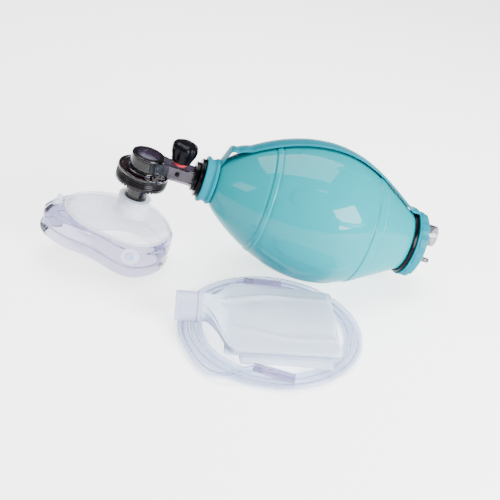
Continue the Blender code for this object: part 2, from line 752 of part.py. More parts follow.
# ---------------------------------------------------------------- patient valve group
def valve_housing(axis):
    """Clear body: flange, tall round dome with the exhaust port and its ledge, and the box arm."""
    bore = DOME_RADIUS - DOME_WALL
    profile = [
        (0.0, DOME_TOP),
        (DOME_RADIUS - 2 * EDGE, DOME_TOP),
        (DOME_RADIUS - EDGE / 2, DOME_TOP - EDGE / 2),
        (DOME_RADIUS, DOME_TOP - 2 * EDGE),
        (DOME_RADIUS, FLANGE_TOP),
        (FLANGE_RADIUS - EDGE, FLANGE_TOP),
        (FLANGE_RADIUS, FLANGE_TOP - EDGE),
        (FLANGE_RADIUS, FLANGE_BOTTOM),
        (0.0, FLANGE_BOTTOM),
    ]
    body = turned("valve_housing", profile, "smoke_plastic", axis, closed=False, steps=28)
    half = ARM_WIDTH / 2
    arm_low = FLANGE_TOP - ARM_SINK
    arm = block("arm_outer", (DOME_RADIUS - ARM_ROOT, -half, arm_low), (ARM_END, half, ARM_TOP), None, axis)
    wedge = arm_gusset(axis)
    join(body, arm, "UNION")
    join(body, wedge, "UNION")
    hollow_profile = [
        (0.0, DOME_TOP + OVERCUT),
        (EXHAUST_RADIUS, DOME_TOP + OVERCUT),
        (EXHAUST_RADIUS, DOME_TOP - DOME_WALL),
        (bore, DOME_TOP - DOME_WALL),
        (bore, LEDGE_TOP),
        (LEDGE_RADIUS, LEDGE_TOP),
        (LEDGE_RADIUS, LEDGE_TOP - LEDGE_THICK),
        (bore, LEDGE_TOP - LEDGE_THICK),
        (bore, FLANGE_BOTTOM - OVERCUT),
        (0.0, FLANGE_BOTTOM - OVERCUT),
    ]
    join(body, turned("dome_hollow", hollow_profile, None, axis, closed=False, steps=28))
    inner_start = DOME_RADIUS + ARM_BORE_START
    low = arm_low + ARM_WALL
    inner_high = (ARM_END + OVERCUT, half - ARM_WALL, ARM_TOP - ARM_WALL)
    join(body, block("arm_inner", (inner_start, ARM_WALL - half, low), inner_high, None, axis))
    roof = LEDGE_TOP - LEDGE_THICK - PASSAGE_ROOF
    passage = ((bore - ARM_ROOT, -PASSAGE_HALF, low), (inner_start + OVERCUT, PASSAGE_HALF, roof))
    join(body, block("arm_passage", *passage, None, axis))
    at = (RELIEF_X, 0, 0)
    drill = (ARM_TOP - ARM_WALL - OVERCUT, ARM_TOP + OVERCUT)
    join(body, rod("relief_hole", RELIEF_TUBE + GAP, *drill, None, axis, at=at, sides=20))
    drill = (half - ARM_WALL - OVERCUT, half + OVERCUT)
    side = rod("plug_hole", PLUG_STEM + GAP, *drill, None, axis, at=at, turn=ALONG_MINUS_Y, sides=12)
    join(body, side)


def arm_gusset(axis):
    """The keyhole neck: a wedge that runs from the dome's sides into the arm."""
    half = ARM_WIDTH / 2
    wide = DOME_RADIUS * WEDGE_SHARE
    reach = DOME_RADIUS + WEDGE_PAST
    corners = [(WEDGE_START, wide), (reach, half), (reach, -half), (WEDGE_START, -wide)]
    low, high = FLANGE_TOP - WEDGE_SINK, ARM_TOP - WEDGE_SINK / 2
    rings = [[(x, y, z) for x, y in corners] for z in (low, high)]
    return loft("arm_gusset", rings, None, axis, closed=False)


def valve_ring(axis):
    """Threaded ring under the flange, with thread lines and a toothed lower rim."""
    profile = [(FLANGE_RADIUS - EDGE / 2, RING_TOP)]
    for k in range(THREAD_LINES):
        z = RING_TOP - THREAD_START - k * THREAD_PITCH
        profile += [
            (FLANGE_RADIUS, z + THREAD_DEPTH / 2),
            (FLANGE_RADIUS, z - THREAD_DEPTH * 3 / 2),
            (FLANGE_RADIUS - THREAD_DEPTH, z - THREAD_DEPTH * 2),
            (FLANGE_RADIUS - THREAD_DEPTH, z - THREAD_DEPTH * 5 / 2),
        ]
    inner = FLANGE_RADIUS - RING_WALL
    profile += [
        (FLANGE_RADIUS, RING_BOTTOM + TOOTH_DEPTH + THREAD_START),
        (FLANGE_RADIUS, RING_BOTTOM),
        (RING_HOLE, RING_BOTTOM),
        (RING_HOLE, RING_BOTTOM + RING_FLOOR),
        (inner, RING_BOTTOM + RING_FLOOR),
        (inner, RING_TOP),
    ]
    ring = turned("valve_ring", profile, "smoke_plastic", axis, steps=28)
    shape = bmesh.new()
    for k in range(RING_TEETH):
        spin = Matrix.Rotation(k * 2 * math.pi / RING_TEETH, 4, "Z")
        shift = Matrix.Translation((FLANGE_RADIUS, 0, RING_BOTTOM))
        size = Matrix.Diagonal((TOOTH_LENGTH, TOOTH_WIDTH, 2 * TOOTH_DEPTH, 1))
        bmesh.ops.create_cube(shape, size=1.0, matrix=spin @ shift @ size)
    mesh = bpy.data.meshes.new("tooth_gaps")
    shape.to_mesh(mesh)
    shape.free()
    join(ring, place(mesh, "tooth_gaps", None, axis))


def valve_insides(axis):
    """The lip valve, the exhalation disc and the patient connector."""
    clear = FLANGE_RADIUS - RING_WALL - GAP
    top = RING_TOP
    cone_top = DOME_RADIUS - DOME_WALL - LIP_INSET
    lip = [
        (clear, top),
        (clear, top - LIP_THICK),
        (cone_top, top - LIP_THICK),
        (LIP_TIP, top - LIP_THICK - LIP_CONE),
        (LIP_SLIT, top - LIP_THICK - LIP_CONE),
        (LIP_SLIT, top - LIP_CONE),
        (cone_top - LIP_THICK / 2, top),
    ]
    turned("lip_valve", lip, "red_silicone", axis)
    disc_radius = DOME_RADIUS - DOME_WALL - DISC_CLEAR
    low = LEDGE_TOP + GAP
    disc = [(0.0, low + DISC_THICK), (disc_radius, low + DISC_THICK), (disc_radius, low), (0.0, low)]
    turned("exhalation_disc", disc, "frosted_silicone", axis, closed=False, steps=28)
    seat = RING_BOTTOM + RING_FLOOR + GAP
    end = NECK_TOP - CONNECTOR_END
    tube = [
        (clear, seat + CONNECTOR_SEAT),
        (clear, seat),
        (CONNECTOR_RADIUS + EDGE / 2, seat),
        (CONNECTOR_RADIUS + EDGE / 3, seat - CONNECTOR_FILLET),
        (CONNECTOR_RADIUS, NECK_TOP + CONNECTOR_SEAT),
        (CONNECTOR_RADIUS, end + EDGE),
        (CONNECTOR_RADIUS - EDGE / 2, end),
        (CONNECTOR_BORE, end),
        (CONNECTOR_BORE, seat + CONNECTOR_SEAT),
    ]
    turned("patient_connector", tube, "smoke_plastic", axis)


def swivel_sleeve(axis):
    """Black ring on the arm's end with a tube that turns inside the swivel seat."""
    seat_face = BAG_FRONT - COLLAR_LENGTH - GAP - SEAT_LENGTH
    low = seat_face - RUNNING - SLEEVE_LENGTH
    tube_outer = NECK_RADIUS - BAG_WALL - GAP - SEAT_WALL - RUNNING
    tube_end = seat_face + SEAT_LENGTH + SEAT_DEPTH - EDGE
    profile = [
        (tube_outer, tube_end),
        (tube_outer, seat_face - RUNNING),
        (SLEEVE_RADIUS - EDGE / 2, seat_face - RUNNING),
        (SLEEVE_RADIUS, seat_face - RUNNING - EDGE / 2),
        (SLEEVE_RADIUS, low + EDGE),
        (SLEEVE_RADIUS - EDGE, low),
        (SLEEVE_BORE, low),
        (SLEEVE_BORE, tube_end),
    ]
    sleeve = turned("swivel_sleeve", profile, "black_plastic", axis, turn=ALONG_X)
    half = ARM_WIDTH / 2 + GAP
    pocket = ((low - OVERCUT, -half, FLANGE_TOP - ARM_SINK - GAP), (ARM_END + GAP, half, ARM_TOP + GAP))
    join(sleeve, block("arm_pocket", *pocket, None, axis))


def pressure_relief(axis):
    """Pressure-limiting valve on the arm: seal, cup, poppet, spring, lobed cap, and the side plug."""
    at = (RELIEF_X, 0, 0)
    seal_low = ARM_TOP + GAP
    seal_high = seal_low + SEAL_HEIGHT
    seal = [
        (SEAL_RADIUS * 0.9, seal_high),
        (SEAL_RADIUS, (seal_low + seal_high) / 2),
        (SEAL_RADIUS * 0.86, seal_low),
        (RELIEF_TUBE + GAP, seal_low),
        (RELIEF_TUBE + GAP, seal_high),
    ]
    turned("relief_seal", seal, "red_silicone", axis, at=at, steps=28)
    cup_low = seal_high + GAP
    cup_high = cup_low + RELIEF_CUP_HEIGHT
    cup_inner = RELIEF_CUP - RELIEF_WALL
    floor = cup_low + CUP_FLOOR
    cup = [
        (RELIEF_CUP, cup_high),
        (RELIEF_CUP, cup_low),
        (RELIEF_TUBE, cup_low),
        (RELIEF_TUBE, ARM_TOP - ARM_WALL),
        (RELIEF_BORE, ARM_TOP - ARM_WALL),
        (RELIEF_BORE, floor),
        (cup_inner, floor),
        (cup_inner, cup_high),
    ]
    turned("relief_body", cup, "black_plastic", axis, at=at, steps=28)
    poppet_low = floor + GAP
    poppet_high = poppet_low + POPPET_THICK
    cap_low = cup_low + CAP_LIFT
    cap_high = cap_low + CAP_HEIGHT
    well = cup_high + CUP_CLEAR
    stem_top = cap_high - CAP_CROWN - RELIEF_TRAVEL
    poppet = [
        (0.0, stem_top),
        (STEM_RADIUS, stem_top),
        (STEM_RADIUS, poppet_high),
        (cup_inner - EDGE, poppet_high),
        (cup_inner - EDGE, poppet_low),
        (0.0, poppet_low),
    ]
    turned("relief_poppet", poppet, "white_plastic", axis, at=at, closed=False, steps=20)
    coil_low = poppet_high + SPRING_WIRE + GAP
    coil_high = well - SPRING_WIRE - GAP
    turns = np.linspace(0, 1, SPRING_TURNS * 8 + 1)
    reach = STEM_RADIUS + SPRING_CLEAR
    spin = turns * SPRING_TURNS * 2 * math.pi
    rise = coil_low + (coil_high - coil_low) * turns
    points = np.stack([reach * np.cos(spin), reach * np.sin(spin), rise], axis=1)
    tube_mesh("relief_spring", points.tolist(), SPRING_WIRE, "steel", axis, at=at)
    cap = [
        (0.0, cap_high),
        (CAP_RADIUS * 0.55, cap_high - 0.0004),
        (CAP_RADIUS * 0.86, cap_high - 0.0022),
        (CAP_RADIUS * 0.98, cap_high - 0.0048),
        (CAP_RADIUS, cap_high - 0.0076),
        (CAP_RADIUS * 0.97, cap_high - 0.0108),
        (CAP_FOOT, cap_low + 0.0022),
        (CAP_FOOT - EDGE, cap_low),
        (RELIEF_CUP + RUNNING, cap_low),
        (RELIEF_CUP + RUNNING, well),
        (STEM_RADIUS + RUNNING, well),
        (STEM_RADIUS + RUNNING, stem_top + RELIEF_TRAVEL + RUNNING),
        (0.0, stem_top + RELIEF_TRAVEL + RUNNING),
    ]
    knob = turned("relief_cap", cap, "black_plastic", axis, at=at, closed=False, steps=30)
    away = CAP_RADIUS + CAP_GROOVE - CAP_GROOVE_DEPTH
    angles = [k * 2 * math.pi / CAP_LOBES for k in range(CAP_LOBES)]
    spots = [(away * math.cos(a), away * math.sin(a), 0.0) for a in angles]
    ends = (cap_low + CAP_PLAIN, cap_high + OVERCUT)
    join(knob, rod("cap_grooves", CAP_GROOVE, *ends, None, axis, at=at, sides=16, copies=spots))
    half = ARM_WIDTH / 2
    head = [
        (0.0, half + PLUG_REACH + GAP),
        (PLUG_RADIUS * 0.7, half + PLUG_REACH + GAP),
        (PLUG_RADIUS, half + PLUG_REACH - EDGE),
        (PLUG_RADIUS, half + GAP),
        (PLUG_STEM, half + GAP),
        (PLUG_STEM, half - ARM_WALL),
        (0.0, half - ARM_WALL),
    ]
    turn = ALONG_MINUS_Y
    turned("pressure_port_plug", head, "black_plastic", axis, at=at, turn=turn, closed=False, steps=16)


# ---------------------------------------------------------------- mask group
def mask_dome(axis):
    """Clear neck and flat-crowned dome, lofted from the round neck to the pear-shaped seam."""
    top = NECK_TOP - INSERT_RIM - GAP
    foot = NECK_TOP - NECK_HEIGHT
    bore = NECK_OUTER - NECK_WALL
    boss = NECK_OUTER + BOSS_OUT
    drop = foot - SEAM_Z
    rings = [circle(NECK_OUTER, top), circle(NECK_OUTER, foot + BOSS_HEIGHT)]
    rings += [circle(boss, foot + BOSS_HEIGHT / 2), circle(boss, foot)]
    rings += blended(circle(boss, foot), outline(*SEAM, SEAM_Z), drop, CROWN)
    rings += [grown(SEAM, RIM_OUT, SEAM_Z - RIM_OUT / 2), grown(SEAM, RIM_OUT, SEAM_Z - SHELL)]
    inner_seam = grown(SEAM, -SHELL, SEAM_Z - SHELL)
    rings.append(inner_seam)
    rings += blended(circle(bore, foot - SHELL), inner_seam, drop, CROWN[-2::-1])
    rings += [circle(bore, foot - SHELL), circle(bore, top)]
    loft("mask_dome", rings, "clear_silicone", axis)


def mask_cushion(axis, world):
    """Soft wall and rolled lower lip, pressed flat where the chin meets the table."""
    top = SEAM_Z - SHELL - GAP
    middle = tuple((a + b) / 2 for a, b in zip(SEAM, WALL))
    bases = {"seam": SEAM, "middle": middle, "wall": WALL, "foot": FOOT}
    heights = {"top": top, "lip": MASK_BOTTOM}
    rings = [grown(bases[base], grow, heights[end] + lift) for base, grow, end, lift in CUSHION]
    cushion = loft("mask_cushion", rings, "frosted_silicone", axis)
    join(cushion, block("table", *UNDER_TABLE, None, world))
    ends = (top - INFLATE_SINK - GAP, top + INFLATE_HEIGHT)
    pocket = rod("inflate_pocket", INFLATE_BASE + GAP, *ends, None, axis, at=(INFLATE_X, 0, 0))
    join(cushion, pocket)


def mask_fittings(axis):
    """The neck insert, the inflation valve at the nose and the plug on the side wall."""
    bore = CONNECTOR_RADIUS + RUNNING
    sleeve = bore + INSERT_WALL
    insert = [
        (NECK_OUTER - EDGE / 2, NECK_TOP),
        (NECK_OUTER, NECK_TOP - EDGE / 2),
        (NECK_OUTER, NECK_TOP - INSERT_RIM),
        (sleeve, NECK_TOP - INSERT_RIM),
        (sleeve, NECK_TOP - INSERT_DEPTH),
        (bore, NECK_TOP - INSERT_DEPTH),
        (bore, NECK_TOP),
    ]
    turned("mask_neck_insert", insert, "frosted_silicone", axis)
    base = SEAM_Z - SHELL - GAP - INFLATE_SINK
    valve = [
        (0.0, base + INFLATE_HEIGHT),
        (INFLATE_STUB * 0.7, base + INFLATE_HEIGHT),
        (INFLATE_STUB, base + INFLATE_HEIGHT - EDGE),
        (INFLATE_STUB, base + INFLATE_SHOULDER + EDGE / 2),
        (INFLATE_BASE - EDGE, base + INFLATE_SHOULDER),
        (INFLATE_BASE, base + INFLATE_SHOULDER - EDGE),
        (INFLATE_BASE, base),
        (0.0, base),
    ]
    turned("inflation_valve", valve, "clear_silicone", axis, at=(INFLATE_X, 0, 0), closed=False, steps=20)
    wall_y = side_wall_at(PLUG_X)
    at = (PLUG_X, -wall_y, SEAM_Z - PLUG_DROP - SHELL)
    seat = [
        (PLUG_SEAT - EDGE, PLUG_RING),
        (PLUG_SEAT, PLUG_RING - EDGE),
        (PLUG_SEAT, 0.0),
        (PLUG_CORE + GAP, 0.0),
        (PLUG_CORE + GAP, PLUG_RING),
    ]
    turned("side_plug_seat", seat, "clear_silicone", axis, at=at, turn=ALONG_MINUS_Y, steps=28)
    core = [
        (0.0, PLUG_OUT),
        (PLUG_CORE - EDGE, PLUG_OUT),
        (PLUG_CORE, PLUG_OUT - EDGE),
        (PLUG_CORE, 0.0),
        (0.0, 0.0),
    ]
    turned("side_plug", core, "blue_silicone", axis, at=at, turn=ALONG_MINUS_Y, closed=False, steps=20)


def side_wall_at(x):
    """The half-width of the mask's widest outline at x, where the side plug stands off it."""
    points = outline(*WALL, 0.0, sides=400)[:200]
    return float(np.interp(-x, -points[:, 0], points[:, 1])) + GAP


# ---------------------------------------------------------------- tubing and reservoir
def tubing(world):
    """The coil's outer form, a flat ring one tube high, and the two end connectors that lie on it."""
    inner = COIL_RADIUS - COIL_TURNS * TUBE
    round_off = TUBE * COIL_ROUND
    coil = [
        (COIL_RADIUS - round_off, TUBE),
        (COIL_RADIUS, TUBE - round_off),
        (COIL_RADIUS, 0.0),
        (inner, 0.0),
        (inner, TUBE - round_off),
        (inner + round_off, TUBE),
    ]
    turned("oxygen_tubing", coil, "clear_tubing", world, at=(COIL_X, COIL_Y, 0), steps=36)
    lift = TUBE + END_RADIUS + GAP
    for name, (middle, heading) in (("tube_connector_inner", INNER_END), ("tube_connector_outer", OUTER_END)):
        ends = [
            (END_RADIUS * 0.86, END_LENGTH / 2),
            (END_RADIUS, END_LENGTH * 0.30),
            (END_RADIUS, -END_LENGTH * 0.36),
            (END_RADIUS * 0.90, -END_LENGTH / 2),
            (END_BORE, -END_LENGTH / 2),
            (END_BORE, END_LENGTH / 2),
        ]
        at = (COIL_X + middle[0], COIL_Y + middle[1], lift)
        turned(name, ends, "violet_plastic", world, at=at, turn=(0.0, math.pi / 2, heading), steps=20)


def reservoir(world):
    """Socket, clamp ring and folded film bag, lying over the coil."""
    centre = TUBE + GAP + SOCKET_RING
    start_x = COIL_X - RESERVOIR_BACK
    middle_y = COIL_Y + RESERVOIR_SIDE
    at = (start_x, middle_y, centre)
    inner = SOCKET_RADIUS - SOCKET_WALL
    socket = [
        (SOCKET_RADIUS - SOCKET_STEP, SOCKET_LENGTH + SOCKET_RING_LENGTH),
        (SOCKET_RADIUS - SOCKET_STEP, SOCKET_LENGTH - GAP),
        (SOCKET_RADIUS, SOCKET_LENGTH - GAP),
        (SOCKET_RADIUS, EDGE),
        (SOCKET_RADIUS - EDGE, 0.0),
        (inner, 0.0),
        (inner, SOCKET_LENGTH + SOCKET_RING_LENGTH),
    ]
    turned("reservoir_socket", socket, "white_plastic", world, at=at, turn=ALONG_X)
    ring = [
        (SOCKET_RING - EDGE, SOCKET_LENGTH + SOCKET_RING_LENGTH),
        (SOCKET_RING, SOCKET_LENGTH + SOCKET_RING_LENGTH - EDGE),
        (SOCKET_RING, SOCKET_LENGTH + EDGE),
        (SOCKET_RING - EDGE, SOCKET_LENGTH),
        (SOCKET_RADIUS - SOCKET_STEP + GAP, SOCKET_LENGTH),
        (SOCKET_RADIUS - SOCKET_STEP + GAP, SOCKET_LENGTH + SOCKET_RING_LENGTH),
    ]
    turned("reservoir_ring", ring, "white_plastic", world, at=at, turn=ALONG_X)
    neck = start_x + SOCKET_LENGTH + SOCKET_RING_LENGTH + GAP
    low = TUBE + GAP
    turn = np.linspace(0, 2 * math.pi, FILM_SIDES, endpoint=False)
    cosine, sine = np.cos(turn), np.sin(turn)
    half_wide, half_tall = FILM_WIDTH / 2, FILM_THICK / 2
    flat = low + half_tall
    sections = (
        (0.0, FILM_NECK, FILM_NECK, centre, 1.0),
        (0.010, 0.0160, 0.0100, centre - 0.003, 1.0),
        (0.019, 0.0330, half_tall + 0.001, flat + 0.001, 0.7),
        (0.028, half_wide - FILM_EDGE, half_tall, flat, 0.35),
        (0.036, half_wide, half_tall, flat, 0.3),
        (FILM_LENGTH - FILM_EDGE, half_wide, half_tall, flat, 0.3),
        (FILM_LENGTH, half_wide - FILM_EDGE, half_tall - FILM_EDGE, flat, 0.3),
    )
    rings = []
    for reach, wide, tall, z, power in sections:
        y = wide * np.sign(cosine) * np.abs(cosine) ** power
        rise = tall * np.sign(sine) * np.abs(sine) ** power
        rings.append(np.stack([np.full(FILM_SIDES, neck + reach), middle_y + y, z + rise], axis=1))
    film = loft("reservoir_bag", rings, "white_film", world, closed=False)
    belly = (FILM_BELLY_LOW, flat)
    sag = rod("film_belly", FILM_BELLY, *belly, None, world, at=(COIL_X, COIL_Y, 0), sides=36)
    join(film, sag, "UNION")


def centre_on_base(root):
    """Moves the root so that the object without its tubing stands centred on the origin."""
    bpy.context.view_layer.update()
    graph = bpy.context.evaluated_depsgraph_get()
    low = np.full(3, np.inf)
    high = np.full(3, -np.inf)
    for obj in PARTS.objects:
        if obj.type != "MESH" or obj.name.startswith(("oxygen_tubing", "tube_connector")):
            continue
        solid = obj.evaluated_get(graph)
        mesh = solid.to_mesh()
        points = np.empty(len(mesh.vertices) * 3)
        mesh.vertices.foreach_get("co", points)
        turn = np.array(solid.matrix_world)
        points = points.reshape(-1, 3) @ turn[:3, :3].T + turn[:3, 3]
        low = np.minimum(low, points.min(axis=0))
        high = np.maximum(high, points.max(axis=0))
        solid.to_mesh_clear()
    root.location = (-(low[0] + high[0]) / 2, -(low[1] + high[1]) / 2, -low[2])


def build():
    """The whole object."""
    root = frame_empty("root")
    axis = frame_empty("axis", root, at=(0, 0, HEIGHT), turn=(0, LEAN, 0))
    bag_shell(axis)
    hand_strap(axis)
    swivel_seat(axis)
    intake_end(axis)
    valve_housing(axis)
    valve_ring(axis)
    valve_insides(axis)
    swivel_sleeve(axis)
    pressure_relief(axis)
    mask_dome(axis)
    mask_cushion(axis, root)
    mask_fittings(axis)
    tubing(root)
    reservoir(root)
    centre_on_base(root)


build()
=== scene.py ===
"""Looks of a bag valve mask that rests on a table beside its reservoir bag and its coiled oxygen
tubing.

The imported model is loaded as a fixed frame. Each sub-assembly is a class that holds its sizes in
metres
and builds finely meshed pieces over the frame's nodes: surfaces of revolution, lofts and swept
sections,
all computed as whole numpy arrays. The bag, valve and mask are built about the valve's own axes,
which
are read from the frame's two swivel joints.
"""

from __future__ import annotations

import json
import logging
import math
from dataclasses import dataclass, field
from enum import Enum

import bmesh
import bpy
import numpy as np
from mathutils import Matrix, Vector

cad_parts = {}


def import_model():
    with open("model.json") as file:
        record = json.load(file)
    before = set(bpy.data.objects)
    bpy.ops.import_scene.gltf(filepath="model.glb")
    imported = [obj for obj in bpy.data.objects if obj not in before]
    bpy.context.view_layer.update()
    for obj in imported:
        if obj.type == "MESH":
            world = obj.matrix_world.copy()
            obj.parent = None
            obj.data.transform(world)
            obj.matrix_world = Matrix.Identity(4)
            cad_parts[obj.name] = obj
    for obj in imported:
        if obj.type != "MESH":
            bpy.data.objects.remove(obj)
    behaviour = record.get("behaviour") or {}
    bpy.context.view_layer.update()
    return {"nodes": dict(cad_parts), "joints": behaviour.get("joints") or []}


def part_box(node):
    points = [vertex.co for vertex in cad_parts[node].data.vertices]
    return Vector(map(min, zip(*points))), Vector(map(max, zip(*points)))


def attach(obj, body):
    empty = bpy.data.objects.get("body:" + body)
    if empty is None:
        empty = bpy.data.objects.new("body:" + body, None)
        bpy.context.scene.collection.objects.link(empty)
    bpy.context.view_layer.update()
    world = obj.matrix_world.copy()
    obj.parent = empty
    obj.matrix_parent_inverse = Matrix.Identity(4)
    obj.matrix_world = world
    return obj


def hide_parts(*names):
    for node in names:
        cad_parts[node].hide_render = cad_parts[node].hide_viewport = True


LOG = logging.getLogger("bag_valve_mask")
GAP = 0.0003
EDGE = 0.0008
MERGE = 1e-7
SHARP = math.radians(38)


# ---------------------------------------------------------------- places
class Along(Enum):
    """The way that a turned piece's own axis points, as the order of the place's axes."""

    X = "x"
    Z = "z"
    MINUS_Y = "minus y"


@dataclass(frozen=True)
class Place:
    """An origin and three unit axes, as rows, in the row frame."""

    origin: np.ndarray
    axes: np.ndarray

    def world(self, points: np.ndarray) -> np.ndarray:
        """Local points, any shape ending in 3, in the row frame."""
        return self.origin + np.asarray(points, float) @ self.axes

    def at(self, x: float, y: float, z: float) -> Place:
        """The same axes with the origin moved by local x, y and z."""
        return Place(self.world(np.array([x, y, z])), self.axes)

    def along(self, way: Along) -> Place:
        """The place whose local Z points the given way.

        Args:
            way: which of the present axes the new local Z follows.

        Returns:
            A right-handed place with the same origin.
        """
        x, y, z = self.axes
        order = {Along.X: (y, z, x), Along.Z: (x, y, z), Along.MINUS_Y: (x, z, -y)}[way]
        return Place(self.origin, np.stack(order))


def valve_place(joints: list[dict]) -> Place:
    """The valve's axes: X along the bag, Z up the valve, the origin where the two meet.

    Args:
        joints: the frame's joints; valve_swivel gives X and a point on it, mask_swivel gives Z.

    Returns:
        The place that the bag, the valve and the mask are built about.
    """
    found = {joint["name"]: joint for joint in joints}
    along = np.array(found["valve_swivel"]["axis"], float)
    up = np.array(found["mask_swivel"]["axis"], float)
    on_bag = np.array(found["valve_swivel"]["pos_m"], float)
    on_mask = np.array(found["mask_swivel"]["pos_m"], float)
    origin = on_bag + along * float((on_mask - on_bag) @ along)
    return Place(origin, np.stack([along, np.cross(up, along), up]))


# ---------------------------------------------------------------- surfaces
def rounded(profile: list[tuple[float, float]], radius: float, closed: bool = True,
        cuts: int = 4) -> np.ndarray:
    """Rounds a profile's corners: each becomes a quadratic curve between points one radius before
    and after it.

    Args:
        profile: (radius, height) corners in order.
        radius: how far along each side the rounding starts, at most 0.42 of the side.
        closed: whether the last corner joins the first.
        cuts: points per corner.

    Returns:
        The rounded profile, one row per point.
    """
    corners = np.array(profile, float)
    before = np.roll(corners, 1, axis=0) - corners
    after = np.roll(corners, -1, axis=0) - corners
    length_before = np.linalg.norm(before, axis=1, keepdims=True).clip(1e-9)
    length_after = np.linalg.norm(after, axis=1, keepdims=True).clip(1e-9)
    start = corners + before / length_before * np.minimum(radius, 0.42 * length_before)
    stop = corners + after / length_after * np.minimum(radius, 0.42 * length_after)
    t = np.linspace(0, 1, cuts)[None, :, None]
    curve = (1 - t) ** 2 * start[:, None] + 2 * t * (1 - t) * corners[:, None] + t**2 * stop[:,
        None]
    if not closed:
        curve[0] = corners[0]
        curve[-1] = corners[-1]
    flat = curve.reshape(-1, 2)
    keep = np.ones(len(flat), bool)
    keep[1:] = np.linalg.norm(np.diff(flat, axis=0), axis=1) > MERGE
    return flat[keep]


def spun(profile: np.ndarray, steps: int = 96) -> np.ndarray:
    """A grid of revolution: each profile point (r, h) goes round as (r cos a, r sin a, h)."""
    turn = np.linspace(0, 2 * math.pi, steps, endpoint=False)
    radius, height = np.asarray(profile, float).T
    return np.stack(
        [np.outer(radius, np.cos(turn)), np.outer(radius, np.sin(turn)),
        np.tile(height[:, None], steps)], axis=-1
    )


def flowing(rows: np.ndarray, per_row: int = 5, closed: bool = False) -> np.ndarray:
    """More rows between the given ones, on Catmull-Rom curves through them.

    Args:
        rows: (n, m, 3) rings.
        per_row: new rows for each old one.
        closed: whether the last row flows on into the first.

    Returns:
        The finer grid, which passes through every given row.
    """
    rows = np.asarray(rows, float)
    if closed:
        padded = np.concatenate([rows[-1:], rows, rows[:2]])
    else:
        padded = np.concatenate([2 * rows[:1] - rows[1:2], rows, 2 * rows[-1:] - rows[-2:-1]])
    p0, p1, p2, p3 = padded[:-3], padded[1:-2], padded[2:-1], padded[3:]
    t = np.linspace(0, 1, per_row, endpoint=False)[None, :, None, None]
    p0, p1, p2, p3 = (p[:, None] for p in (p0, p1, p2, p3))
    curve = 0.5 * (2 * p1 + (p2 - p0) * t + (2 * p0 - 5 * p1 + 4 * p2 - p3) * t**2
        + (3 * p1 - p0 - 3 * p2 + p3) * t**3)
    fine = curve.reshape(-1, *rows.shape[1:])
    return fine if closed else np.concatenate([fine, rows[-1:]])


def swept(path: np.ndarray, radius: np.ndarray, sides: int = 18) -> np.ndarray:
    """A round tube's grid: circles of the given radii square to the path, with a frame that doesn't
    twist.

    The frame's first side is the up direction less its part along the path.
    """
    ahead = np.gradient(path, axis=0)
    ahead /= np.linalg.norm(ahead, axis=1, keepdims=True)
    up = np.array([0.0, 0.0, 1.0]) - ahead * ahead[:, 2:3]
    up /= np.linalg.norm(up, axis=1, keepdims=True)
    side = np.cross(up, ahead)
    turn = np.linspace(0, 2 * math.pi, sides, endpoint=False)
    ring = np.cos(turn)[None, :, None] * side[:, None] + np.sin(turn)[None, :, None] * up[:, None]
    return path[:, None] + ring * np.asarray(radius, float).reshape(-1, 1, 1)


def smoothstep(t: np.ndarray) -> np.ndarray:
    """0 below 0, 1 above 1, and 3t^2 - 2t^3 between."""
    t = np.clip(t, 0, 1)
    return t * t * (3 - 2 * t)


def solid(name: str, points: np.ndarray, loop: bool = True, caps: bool = False,
        sharp: float = SHARP) -> bpy.types.Object:
    """A closed mesh from a grid whose columns go round.

    Args:
        name: the new object's name.
        points: (rows, columns, 3) in the row frame.
        loop: whether the last row joins the first, as on a wall with an inside.
        caps: whether the first and last rows are closed with a flat face.
        sharp: edges bent more than this stay crisp.

    Returns:
        The object, with its faces outwards and its place in its mesh.
    """
    rows, columns = points.shape[:2]
    last = rows if loop else rows - 1
    i, j = np.meshgrid(np.arange(last), np.arange(columns), indexing="ij")
    below, beside = (i + 1) % rows, (j + 1) % columns
    faces = np.stack([i * columns + j, below * columns + j, below * columns + beside,
        i * columns + beside], axis=-1)
    listed = faces.reshape(-1, 4).tolist()
    if caps:
        listed.append(list(range(columns)))
        listed.append(list(range(rows * columns - 1, (rows - 1) * columns - 1, -1)))
    mesh = bpy.data.meshes.new(name)
    mesh.from_pydata(points.reshape(-1, 3).tolist(), [], listed)
    return finished(name, mesh, sharp)


def finished(name: str, mesh: bpy.types.Mesh, sharp: float = SHARP) -> bpy.types.Object:
    """Merges a mesh's poles, turns its faces outwards by the sign of its volume, and shades it."""
    shape = bmesh.new()
    shape.from_mesh(mesh)
    bmesh.ops.remove_doubles(shape, verts=shape.verts, dist=MERGE)
    bmesh.ops.dissolve_degenerate(shape, edges=shape.edges, dist=MERGE)
    if shape.calc_volume(signed=True) < 0:
        bmesh.ops.reverse_faces(shape, faces=shape.faces)
    shape.to_mesh(mesh)
    shape.free()
    mesh.shade_smooth()
    mesh.set_sharp_from_angle(angle=sharp)
    obj = bpy.data.objects.new(name, mesh)
    bpy.context.scene.collection.objects.link(obj)
    return obj


def carve(obj: bpy.types.Object, other: bpy.types.Object, kind: str) -> bpy.types.Object:
    """Applies a boolean of other to obj, removes other, and shades the result again.

    Args:
        obj: the piece that is kept.
        other: the piece that is joined to it or cut from it.
        kind: UNION or DIFFERENCE.

    Returns:
        The new object, under obj's name.
    """
    cut = obj.modifiers.new("carve", "BOOLEAN")
    cut.object, cut.operation, cut.solver = other, kind, "EXACT"
    bpy.context.view_layer.update()
    graph = bpy.context.evaluated_depsgraph_get()
    mesh = bpy.data.meshes.new_from_object(obj.evaluated_get(graph))
    name = obj.name
    for old in (obj, other):
        data = old.data
        bpy.data.objects.remove(old, do_unlink=True)
        bpy.data.meshes.remove(data)
    return finished(name, mesh)


